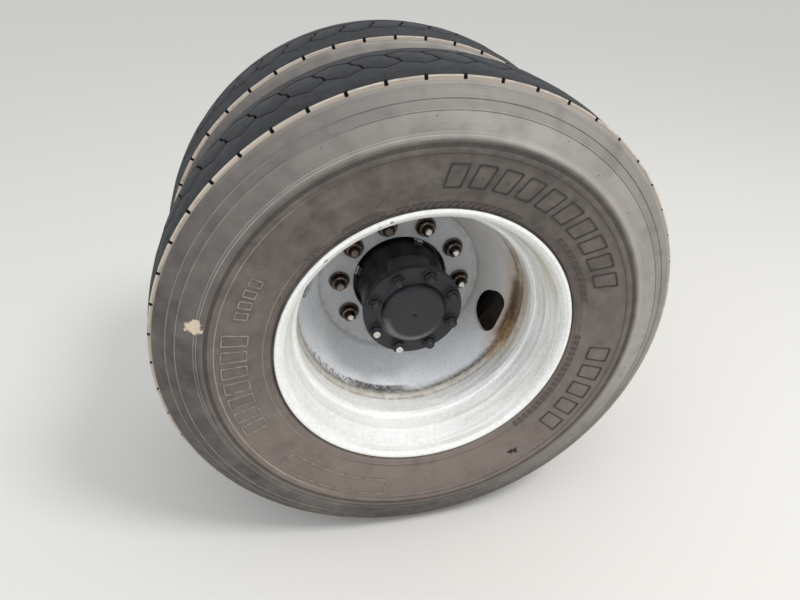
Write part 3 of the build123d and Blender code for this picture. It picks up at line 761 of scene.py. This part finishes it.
def discMesh():
    # The lathed disc with its stud holes and hand holes cut and its edges rolled
    plain = cleaned(lathe(discOutline(), disc["steps"]))
    cutters = bmesh.new()
    for number in range(disc["studs"]):
        angle = disc["firstStud"] + number * 360 / disc["studs"]
        cone(cutters, disc["studHole"], disc["studHole"], 3 * disc["thick"], 32,
             onWheel(angle, disc["studCircle"], wheelPlane - disc["thick"] / 2) @ outwards)
    for angle in disc["handHoles"]:
        addTo(cutters, handHoleCutter(angle))
    piece, cutter = (bpy.data.objects.new(name, toMesh(bm, name))
                     for name, bm in (("plainDisc", plain), ("discCutters", cutters)))
    for helper in (piece, cutter):
        bpy.context.scene.collection.objects.link(helper)
    cut = piece.modifiers.new("holes", "BOOLEAN")
    cut.operation, cut.object, cut.solver = "DIFFERENCE", cutter, "EXACT"
    edge = piece.modifiers.new("rolledEdges", "BEVEL")
    edge.width, edge.segments = disc["rolledEdge"] * mm, 3
    edge.limit_method, edge.angle_limit = "ANGLE", radians(50)
    settled = bpy.data.meshes.new_from_object(piece.evaluated_get(bpy.context.evaluated_depsgraph_get()))
    for helper in (piece, cutter):
        bpy.data.objects.remove(helper)
    return settled


def weldBead():
    # The bead between the disc's edge and the rim's well, rippled where each drop of weld set
    foot, toe = slopeEnd[0], discEdge + disc["seatGap"]
    start, end = disc["edgeEnd"] - weld["overlap"], disc["edgeEnd"] + weld["leg"]
    across = Vector((toe - foot, end - start)).normalized()
    profile = [(toe, start), (foot - 0.4, start)]
    for share in (0.15, 0.35, 0.55, 0.75, 0.92):
        swell = weld["crest"] * sin(pi * share)
        profile.append((foot + (toe - foot) * share - swell * across.y, start + (end - start) * share
                        + swell * across.x))
    profile.append((toe, end))
    bm = lathe([(r, wheelPlane - d) for r, d in profile], weld["steps"])
    for vert in bm.verts:
        flat = Vector((vert.co.x, 0, vert.co.z))
        footEdge = (foot + 0.1) * mm
        onCrest = footEdge < flat.length < (toe - 0.05) * mm
        if onCrest or flat.length < footEdge and vert.co.y / mm < wheelPlane - start - 0.1:
            around = flat.angle(Vector((1, 0, 0))) * toe * (1 if vert.co.z > 0 else -1)
            length, high = weld["ripple"]
            raisedBy = high * abs(sin(pi * around / length))
            for size, high in weld["lumps"]:
                raisedBy += noise.noise(vert.co / (size * mm)) * high
            vert.co += -flat.normalized() * raisedBy * mm
    return bm


def sprayedPaint(name, colour, dusty, grimy):
    # White enamel sprayed on steel: dull gloss, dusty, with grime and rust along the weld
    material, add, place = startMaterial(name, colour, 0.42)
    radius, angle, along = wheelCoordinates(add, place)
    fromPlane = add("Math", [along, wheelPlane * mm], operation="SUBTRACT")
    rise = add("Math", [fromPlane], operation="ABSOLUTE")
    dust = patches(add, place, 90, 0.35, 0.72)
    ragged = patches(add, place, 14, 0.3, 0.7, detail=8.0, seed=7.0)
    specks = patches(add, place, 5, 0.66, 0.74, detail=6.0, seed=2.0)
    mottle = patches(add, place, 7, 0.4, 0.7, detail=8.0, seed=9.0)
    grit = patches(add, place, 6, 0.40, 0.62, detail=8.0, seed=10.0)
    wipedAndPaintedLight = streaks(add, angle, 2.0, rise, 110.0, 4.0, 0.4, 0.65)
    runs = streaks(add, angle, 20.0, rise, 60.0, 6.0, 0.35, 0.62)
    onRim = add("MapRange", [radius, 0.2400, 0.2420])
    innerSide = between(add, radius, 0.2, 0.2545, 0.002)
    weldToe = add("MapRange", [rise, 0.1480, 0.1460])
    nearPlane = add("MapRange", [rise, 0.03, 0.02])

    def area(first, last, fade, low, high, soft):
        # Degrees round the axle, and metres from the plane where the wheels meet
        return sector(add, angle, first, last, fade), between(add, rise, low, high, soft)

    # dust in clouds, then tones in streaks round the barrel: tan on its upper front part, and grey on its
    # right side and on the heel under the lip, which is painted shade
    layers = [(dust, 0.5, dusty)]
    for where, weak, strong, tone in (
            ((-30, 95, 50, 0.148, 0.262, 0.012), 0.0, 0.28, "BDB49E"),
            ((24, 58, 22, 0.240, 0.262, 0.012), 0.35, 0.8, "BFB69A"),
            # grey on the right side of the well: painted shade
            ((-80, 40, 40, 0.152, 0.194, 0.016), 0.05, 0.3, "B4B5B3"),
            # grey on the heel under the lip: painted shade, with dirt
            ((-100, 70, 50, 0.269, 0.277, 0.002), 0.3, 0.55, "B3B1AC"),
            # bluish grey over the barrel's right side: painted shade lit by the sky
            ((-62, 45, 30, 0.152, 0.264, 0.004), 0.08, 0.24, "A5A8AC"),
            ((-175, -40, 30, 0.150, 0.270, 0.010), 0.0, 0.12, "C4C6C2")):
        layers.append((*area(*where), (wipedAndPaintedLight, weak, strong), tone))
    # thin pale lines along the bends of the barrel: painted highlights
    for bend in (0.1965, 0.2275, 0.2690):
        layers.append((between(add, rise, bend - 0.0006, bend + 0.0006, 0.0012), onRim, 0.65, "FAFAF7"))
    # specks, a darker ring in the valley round the studs as painted shade in the crease with dirt, a warm
    # tone on the upper front of the slope, a grey one on the plateau, and a thin dark ring round each washer
    layers += [
        (specks, 0.3, "857A6C"),
        (mottle, 0.16, "6F6C66"),
        (between(add, radius, 0.1800, 0.1870, 0.009), nearPlane, (ragged, 0.3, 0.6), "77736E"),
        (sector(add, angle, -10, 105, 45), between(add, radius, 0.190, 0.260, 0.01),
         [rise, 0.147, 0.145], 0.52, "A39B8E"),
        ([radius, 0.178, 0.174], nearPlane, 0.36, "5D5E61"),
        (between(add, fromBolts(add, radius, angle), 0.022, 0.0245, 0.0015), nearPlane, (ragged, 0.15, 0.75),
         "4B4742")]
    # grime along both toes of the weld, all round
    for low, high, soft, weak, strong, tone in ((0.126, 0.131, 0.005, 0.1, grimy * 1.6, "57514A"),
                                                (0.145, 0.147, 0.002, 0.15, grimy * 1.6, "6F665B"),
                                                (0.120, 0.146, 0.010, 0.05, grimy, "7A736A")):
        layers.append((between(add, rise, low, high, soft), innerSide, (ragged, weak, strong), tone))
    # rust that has bled from the weld at the front: a tan stain, a brown core, a thin tail, orange flakes;
    # and low down, a black smudge and blots
    for where, edge, pattern, weak, strong, tone in (
            ((-26, 14, 18, 0.106, 0.165, 0.020), innerSide, runs, 0.4, 0.85, "B5A38B"),
            ((-22, 5, 10, 0.117, 0.146, 0.016), weldToe, runs, 0.85, 1.0, "5F4631"),
            ((-21, -4, 9, 0.113, 0.128, 0.008), weldToe, grit, 0.0, 0.85, "43362B"),
            ((2, 24, 12, 0.130, 0.146, 0.006), weldToe, runs, 0.2, 0.85, "75624B"),
            ((-38, -18, 6, 0.121, 0.143, 0.006), innerSide, grit, 0.1, 1.0, "A98A60"),
            ((-36, -16, 6, 0.119, 0.140, 0.004), innerSide, mottle, -0.3, 0.9, "6B4C2E"),
            ((-62, -34, 10, 0.121, 0.130, 0.004), innerSide, grit, 0.0, 0.6, "5B534B"),
            ((-118, -96, 10, 0.1120, 0.1230, 0.005), innerSide, grit, 0.55, 1.0, "3B3836"),
            ((-150, -121, 12, 0.112, 0.124, 0.005), innerSide, grit, -0.3, 0.8, "4E4842")):
        layers.append((*area(*where), edge, (pattern, weak, strong), tone))
    # near black on what faces the other wheel and dark on the rim behind the disc: brake dust and road film,
    # with painted shade between the wheels
    side = add("Math", [fromPlane], operation="SIGN")
    faced = add("SeparateXYZ", [add("TexCoord", out="Normal")], out=1)
    faced = add("Math", [faced, side], operation="MULTIPLY")
    layers += [
        ([faced, -0.1, -0.3], 0.96, [rise, 0.15, 0.14], "100E0E"),
        ([radius, 0.248, 0.2495], [rise, 0.13, 0.10], 0.85, "3A342F")]
    # a rust speck and two scuffs on the lip
    paint = spotted(add, place, layered(add, colour, layers), (
        (288, 131.9, lipPlane, 5, "A8874E"),
        (290, 106.0, lipPlane, 4, "8D8A86"),
        (290, 110.2, lipPlane, 3, "9A9793")))
    orangePeel = add("TexNoise", {"Vector": place, "Scale": 1 / (3 * mm), "Detail": 2.0})
    flakes = add("Math", [between(add, rise, 0.122, 0.146, 0.010), innerSide], operation="MULTIPLY")
    flakes = add("Math", [flakes, ragged], operation="MULTIPLY")
    relief = add("Math", [flakes, 3.0, orangePeel], operation="MULTIPLY_ADD")
    return finishMaterial(material, add, paint, (dust, 0.34, 0.55), relief, 0.1)


rimPaint = sprayedPaint("sprayedWhiteEnamel", "F2F3F1", "DDDCD5", 0.3)
# the discs' copy of the white enamel: dustier, and tinted bluish as painted shade lit by the sky
discPaint = sprayedPaint("dustyWhiteEnamelBluishShade", "EDF0F5", "D6D6D5", 0.5)
weldPaint = sprayedPaint("paintedWeld", "D6D2C8", "B2ABA0", 0.5)
outerRim = makePiece("outerRim", lathe(rimOutline(), rim["steps"]), rimPaint, "white_paint", ["rim_outer"])
outerDisc = makePiece("outerDisc", discMesh(), discPaint, "white_paint", ["disc_outer"])
outerWeld = makePiece("outerWeld", weldBead(), weldPaint, "white_paint", ["disc_outer"], sharp=60)
twinOf(outerRim, "innerRim", ["rim_inner"])
twinOf(outerDisc, "innerDisc", ["disc_inner"])
twinOf(outerWeld, "innerWeld", ["disc_inner"])
print("rims and discs made")


# Wheel nuts on their studs, and the drive flange's nuts on theirs
nuts = {
    "seat": span("wheel_nuts", "y")[1], "studs": span("wheel_studs", "y"),
    "across": 33.0, "high": 20.0, "washerRadius": 23.0, "washer": 5.0, "studRadius": 11.0, "pitch": 2.2,
    "pointRadius": 8.0, "point": 2.6, "headRadius": 15.5, "head": 9.0, "threadFrom": 40.0,
    "circle": disc["studCircle"], "count": disc["studs"], "first": disc["firstStud"],
}
driveNuts = {
    "seat": span("drive_nuts", "y")[1], "studs": span("drive_studs", "y"),
    "across": 24.0, "high": 14.0, "washerRadius": 15.5, "washer": 2.5, "studRadius": 8.0, "pitch": 2.0,
    "pointRadius": 6.4, "point": 1.4, "headRadius": 8.0, "head": 0.0, "threadFrom": 40.0,
    "circle": 90.7, "count": 8, "first": 24.4,
}


def hexNut(size):
    # One nut with its washer, standing on z = 0
    bm = bmesh.new()
    high, washer, across = size["high"], size["washer"], size["across"]
    corner = across / 2 / cos(pi / 6)
    hexagon = cone(bm, corner, corner, high - washer, 6, Matrix.Translation((0, 0, (high + washer) / 2 * mm)))

    def topFaces():
        return [f for f in bm.faces if f.calc_center_median().z > (high - 0.1) * mm]

    bmesh.ops.inset_individual(bm, faces=topFaces(), thickness=(corner - across / 2) * 0.9 * mm,
                               use_even_offset=True)
    face = [f for f in topFaces() if len(f.verts) == 6][0]
    outerCorners = [v for v in hexagon if v.co.z > (high - 0.1) * mm]
    bmesh.ops.translate(bm, vec=(0, 0, -0.11 * corner * mm), verts=outerCorners)
    bmesh.ops.inset_individual(bm, faces=[face], thickness=0.17 * corner * mm, use_even_offset=True)
    bmesh.ops.translate(bm, vec=(0, 0, -1.5 * mm), verts=face.verts)
    sharpEdges = [e for e in bm.edges if len(e.link_faces) == 2 and e.calc_face_angle() > 0.9]
    bevelled(bm, sharpEdges, 0.035 * corner)
    for low, up, narrow in ((0, 0.55, 1.0), (0.55, 1.0, 0.9)):
        cone(bm, size["washerRadius"], size["washerRadius"] * narrow, washer * (up - low), 40,
             Matrix.Translation((0, 0, washer * (low + up) / 2 * mm)))
    return bm


def studShape(size):
    # One stud standing on z = 0 at its head's end, with its thread as closed rings
    length = size["studs"][1] - size["studs"][0]
    radius, pitch = size["studRadius"], size["pitch"]
    profile = [(0, 0), (size["headRadius"], 0), (size["headRadius"], size["head"]), (radius, size["head"])]
    y = length - size["threadFrom"]
    while y + pitch < length - size["point"]:
        profile += [(radius, y), (radius - 0.4 * pitch, y + pitch / 2)]
        y += pitch
    profile += [(radius, y), (size["pointRadius"], length - size["point"] * 0.35),
                (size["pointRadius"] - 0.6, length), (0, length)]
    bm = lathe(profile, 28, closed=False)
    bmesh.ops.transform(bm, matrix=outwards, verts=bm.verts)
    return bm


def placedRound(shape, size, seat, turns=None):
    # Copies of a bmesh that stands on z = 0, each on a seat facing outboard
    whole = bmesh.new()
    one = toMesh(shape, "one")
    for number in range(size["count"]):
        part = bmesh.new()
        part.from_mesh(one)
        turn = Matrix.Rotation(radians(turns.uniform(0, 60)) if turns else 0, 4, "Z")
        place = onWheel(size["first"] + number * 360 / size["count"], size["circle"], seat)
        bmesh.ops.transform(part, matrix=place @ outwards @ turn, verts=part.verts)
        addTo(whole, part)
    bpy.data.meshes.remove(one)
    return whole


def rustedSteel():
    # Forged steel nuts, brown with rust and grease: nearly black in the hollows, dust on the washers
    material, add, place = startMaterial("rustedForgedSteel", "2E241E", 0.5, 0.4)
    radius, angle, along = wheelCoordinates(add, place)
    apart = fromBolts(add, radius, angle)
    scale = patches(add, place, 6, 0.35, 0.65, detail=6.0)
    nutTop = nuts["seat"] - nuts["high"]
    high = add("MapRange", [along, (nutTop + 4.5) * mm, (nutTop + 3.5) * mm])
    # the top face is rubbed brown round the bore, the chamfer carries painted highlights in places, and the
    # ring round the stud is black
    colour = layered(add, "0F0B09", (
        (scale, "2E2119"),
        (patches(add, place, 3, 0.5, 0.7, seed=4.0), 0.5, "8A705B"),
        (between(add, apart, 0.0122, 0.0160, 0.0005), high, (scale, 0.2, 0.9), "6B5141"),
        (between(add, apart, 0.0158, 0.0174, 0.0005), high, scale, "B3A697"),
        (between(add, apart, 0.0, 0.0118, 0.0005), high, "0A0807"),
        ([apart, 0.0205, 0.0218], (scale, 0.35, 0.9), "7C746C")))
    return finishMaterial(material, add, colour, (scale, 0.24, 0.55), scale, 0.4)


def studSteel():
    # Rolled steel studs: nearly black in the thread, the ends dull at the back and bright at the front, wiped
    # metal with painted highlights
    material, add, place = startMaterial("rolledStudSteel", "B9B6B0", 0.36, 0.85)
    radius, angle, along = wheelCoordinates(add, place)
    grime = patches(add, place, 4, 0.35, 0.65, detail=5.0)
    atEnd = add("MapRange", [along, (nuts["studs"][0] + 2.9) * mm, (nuts["studs"][0] + 1.9) * mm])
    centre = add("Math", [grime, 0.003, fromBolts(add, radius, angle)], operation="MULTIPLY_ADD")
    centre = add("MapRange", [centre, 0.0085, 0.0070])
    # the ends in these two sectors carry painted highlights
    wipedAndPaintedLight = add("Math", [sector(add, angle, -12, 76, 4), sector(add, angle, -156, -140, 4)],
                operation="MAXIMUM")
    bright = layered(add, "EAE9E6", [(grime, "C9C4BC")])
    ends = layered(add, "948A80", ((grime, "6E6258"), (wipedAndPaintedLight, centre, bright)))
    colour = layered(add, "191513", ((grime, "463A31"), (atEnd, ends)))
    return finishMaterial(material, add, colour, (grime, 0.3, 0.6))


def driveStudSteel():
    # The drive studs are painted over with the hub; two ends are knocked bright
    material, add, place = startMaterial("paintedStudSteel", "3A3A3B", 0.45, 0.3)
    radius, angle, along = wheelCoordinates(add, place)
    grime = patches(add, place, 4, 0.35, 0.65, detail=5.0)
    atEnd = add("MapRange", [along, (driveNuts["studs"][0] + 2.4) * mm, (driveNuts["studs"][0] + 1.4) * mm])
    bright = layered(add, "DFDDD8", [(grime, "B2ACA2")])
    colour = layered(add, "1B1B1D", ((grime, "3B3B3E"), (atEnd, sector(add, angle, -160, -105, 3), bright)))
    return finishMaterial(material, add, colour, (grime, 0.35, 0.6))


def sootyPaint(name, colour, dusty, front=None, wornAndHighlight=0.0, pilots=0.0, bareFrom=None, sheen=0.48):
    # Black chassis paint on cast iron: dull, greasy, grey where dust sticks to it
    material, add, place = startMaterial(name, colour, 0.55)
    radius, angle, along = wheelCoordinates(add, place)
    film = patches(add, place, 40, 0.3, 0.7)
    fine = patches(add, place, 4, 0.3, 0.75, detail=6.0, seed=1.0)
    layers = [(film, fine, dusty)]
    metal = None
    if front:
        # the outboard end is greyer: dust from the weather, and painted light where the neck behind it lies
        # in shade
        layers.append(([along, (front + 6) * mm, (front - 6) * mm], 0.75, (fine, 0.6, 1.0), "424241"))
    if pilots:
        # the pilots' outer edges, rubbed bare by the wheels, carry painted glints
        layers.append(([radius, (pilots - 1.3) * mm, (pilots - 0.5) * mm], [fine, 0.3, 0.45],
                       [along, (wheelPlane - 12) * mm, (wheelPlane - 14) * mm], "F0EEEA"))
    if wornAndHighlight:
        # a painted highlight on the lower side of the dome's shoulder, and its centre hole black
        layers += [
            (between(add, radius, 0.0600, 0.0695, 0.009), sector(add, angle, -145, -75, 50),
             (fine, 0.35, wornAndHighlight), "7E7D7B"),
            ([radius, 0.0058, 0.0052], "050505")]
    if bareFrom is not None:
        # machined and not painted from here on inboard, under a film of oil
        bare = add("MapRange", [along, (bareFrom - 0.3) * mm, bareFrom * mm])
        layers.append((bare, layered(add, "8F8D89", [(film, "6B655C")])))
        metal = add("Math", [bare, 0.9], operation="MULTIPLY")
    # sand-cast skin, drawn a little coarse so that it shows
    skin = add("TexNoise", {"Vector": place, "Scale": 1 / (2.5 * mm), "Detail": 4.0})
    paint = layered(add, colour, layers)
    return finishMaterial(material, add, paint, (film, sheen, sheen + 0.2), skin, 0.3, metal)


def rustyCasting():
    # Bare grey iron that has rusted all over: matt brown, darker where it is scaled
    material, add, place = startMaterial("rustyGreyIron", "4A3326", 0.85)
    scale = patches(add, place, 22, 0.3, 0.7, detail=8.0)
    fine = patches(add, place, 3, 0.35, 0.65, detail=6.0, seed=2.0)
    colour = layered(add, "33261E", ((scale, "5A402E"), (fine, 0.5, "8A6446")))
    return finishMaterial(material, add, colour, (scale, 0.7, 0.95), fine, 0.5)


def turnedSteel(name, colour, dull):
    # Turned steel: fine rings round the axle, with a thin brown film of oil
    material, add, place = startMaterial(name, colour, 0.35, 0.9)
    film = patches(add, place, 30, 0.35, 0.7)
    # tool marks of 0.8 mm, drawn coarser than the real 0.2 mm so that they show
    rings = add("TexWave", {"Vector": place, "Scale": 1 / (0.8 * mm) / 20, "Distortion": 0.4},
                bands_direction="Y")
    return finishMaterial(material, add, layered(add, colour, [(film, dull)]), (film, 0.3, 0.55), rings, 0.04)


hubPaint = sootyPaint("blackHubPaint", "121213", "2A2826", front=-357.0, pilots=109.75, sheen=0.34)
flangePaint = sootyPaint("blackFlangePaint", "1B1C20", "313237", wornAndHighlight=0.9, bareFrom=494.0, sheen=0.4)
for which, size, seed, nutMaterial, studMaterial in (("wheel", nuts, 8, rustedSteel(), studSteel()),
                                                     ("drive", driveNuts, 5, flangePaint, driveStudSteel())):
    allNuts = placedRound(hexNut(size), size, size["seat"], random.Random(seed))
    makePiece(which + "Nuts", allNuts, nutMaterial, "rusty_steel", [which + "_nuts"])
    allStuds = placedRound(studShape(size), size, size["studs"][1])
    makePiece(which + "Studs", allStuds, studMaterial, "rusty_steel", [which + "_studs"])
print("nuts and studs made")


# Hub, axle shaft, brake and spindle keep their CAD shapes
axlePaint = sootyPaint("blackAxlePaint", "232325", "55504A")
spindlePaint = sootyPaint("blackSpindlePaint", "232325", "55504A", bareFrom=-0.5)
platePaint = sootyPaint("blackPlatePaint", "29292A", "5A534B")
machined = turnedSteel("turnedSteel", "9A9997", "6E6860")
brass = turnedSteel("dullBrass", "9C8A5A", "5E5238")
# node, name, material, slot, chamfer and body
for kept in (
        ("hub", "hubCasting", hubPaint, "black_iron", 1.2),
        ("axle_shaft", "driveShaft", flangePaint, "black_iron", 0.8),
        ("brake_drum", "brakeDrum", rustyCasting(), "rusty_iron", 1.2),
        ("spindle", "spindleForging", spindlePaint, "black_iron", 1.0, "axle_end"),
        ("brake_spider", "brakeSpider", axlePaint, "black_iron", 1.2, "axle_end"),
        ("dust_shield_upper", "upperDustShield", platePaint, "black_paint", 0.6, "axle_end"),
        ("dust_shield_lower", "lowerDustShield", platePaint, "black_paint", 0.6, "axle_end"),
        ("spindle_nut", "spindleNut", machined, "machined_steel", 0.8, "axle_end"),
        ("hub_bearing_outer", "outerHubBearing", machined, "machined_steel", 0.8),
        ("hub_bearing_inner", "innerHubBearing", machined, "machined_steel", 0.8),
        ("valve_outer", "outerValve", brass, "valve_brass", 0.4),
        ("valve_inner", "innerValve", brass, "valve_brass", 0.4)):
    edgesBroken(*kept)

shieldBolts = {"circle": 139.0, "across": 13.0, "high": 6.0, "flange": 1.2, "edgeRound": 0.4,
               "angles": (20, 60, 120, 152, -20, -60, -120, -152)}
boltHeads = bmesh.new()
headRadius = shieldBolts["across"] / 2 / cos(pi / 6)
headMiddle = span("dust_shield_upper", "y")[1] + shieldBolts["high"] / 2
for boltAngle in shieldBolts["angles"]:
    head = onWheel(boltAngle, shieldBolts["circle"], headMiddle) @ Matrix.Rotation(-pi / 2, 4, "X")
    foot = head @ Matrix.Translation((0, 0, (shieldBolts["flange"] - shieldBolts["high"]) / 2 * mm))
    cone(boltHeads, headRadius, headRadius * 0.93, shieldBolts["high"], 6, head)
    cone(boltHeads, headRadius * 1.4, headRadius * 1.35, shieldBolts["flange"], 24, foot)
bevelled(boltHeads, [e for e in boltHeads.edges if e.calc_face_angle() > 0.7], shieldBolts["edgeRound"])
makePiece("shieldBolts", boltHeads, turnedSteel("zincPlatedSteel", "8E8D88", "5A554C"), "machined_steel",
          body="axle_end")
print("hub, shaft and brake made")


# Camera, floor and light
view = {"place": (-0.2690, -1.4471, 0.7139), "up": (0.0896, 0.5368, 0.8390),
        "ahead": (0.1905, 0.8175, -0.5435), "lens": 26.73}
studio = {"floor": "DCDAD5", "floorHalf": 30.0, "gap": 0.5, "sky": "F2F4F6", "skyPower": 0.9}
# place, size, power and colour
lights = {"keyLight": ((1.75, -2.0, 3.5), 1.2, 94.0, "FFFDFA"),
          "fillLight": ((-3.0, -2.5, 2.0), 3.0, 30.0, "EEF3FF")}


def makeCamera():
    data = bpy.data.cameras.new("camera")
    data.lens, data.sensor_width = view["lens"], 36
    data.clip_start, data.clip_end = 0.05, 200
    camera = bpy.data.objects.new("camera", data)
    bpy.context.scene.collection.objects.link(camera)
    ahead, up = Vector(view["ahead"]).normalized(), Vector(view["up"]).normalized()
    right = ahead.cross(up).normalized()
    turned = Matrix((right, right.cross(ahead), -ahead)).transposed().to_4x4()
    camera.matrix_world = Matrix.Translation(view["place"]) @ turned
    bpy.context.scene.camera = camera


def makeFloor():
    bm = bmesh.new()
    bmesh.ops.create_grid(bm, x_segments=1, y_segments=1, size=studio["floorHalf"])
    floor = bpy.data.objects.new("floor", toMesh(bm, "floor"))
    floor.location.z = cadBounds[0].z - studio["gap"] * mm
    bpy.context.scene.collection.objects.link(floor)
    floor.data.materials.append(startMaterial("paintedFloor", studio["floor"], 0.9)[0])


def makeLight(name, place, size, power, colour):
    data = bpy.data.lights.new(name, "AREA")
    data.shape, data.size, data.energy, data.color = "DISK", size, power, linear(colour)[:3]
    lamp = bpy.data.objects.new(name, data)
    lamp.location = place
    lamp.rotation_mode = "QUATERNION"
    lamp.rotation_quaternion = (Vector((0, wheelPlane * mm, 0)) - Vector(place)).to_track_quat("-Z", "Y")
    bpy.context.scene.collection.objects.link(lamp)


def makeWorld():
    world = bpy.data.worlds.new("studio")
    bpy.context.scene.world = world
    world.use_nodes = True
    background = world.node_tree.nodes["Background"]
    background.inputs[0].default_value = linear(studio["sky"])
    background.inputs[1].default_value = studio["skyPower"]


makeCamera()
makeFloor()
for lightName, lightValues in lights.items():
    makeLight(lightName, *lightValues)
makeWorld()
bpy.context.scene.view_settings.view_transform = "Standard"
print("stage set")
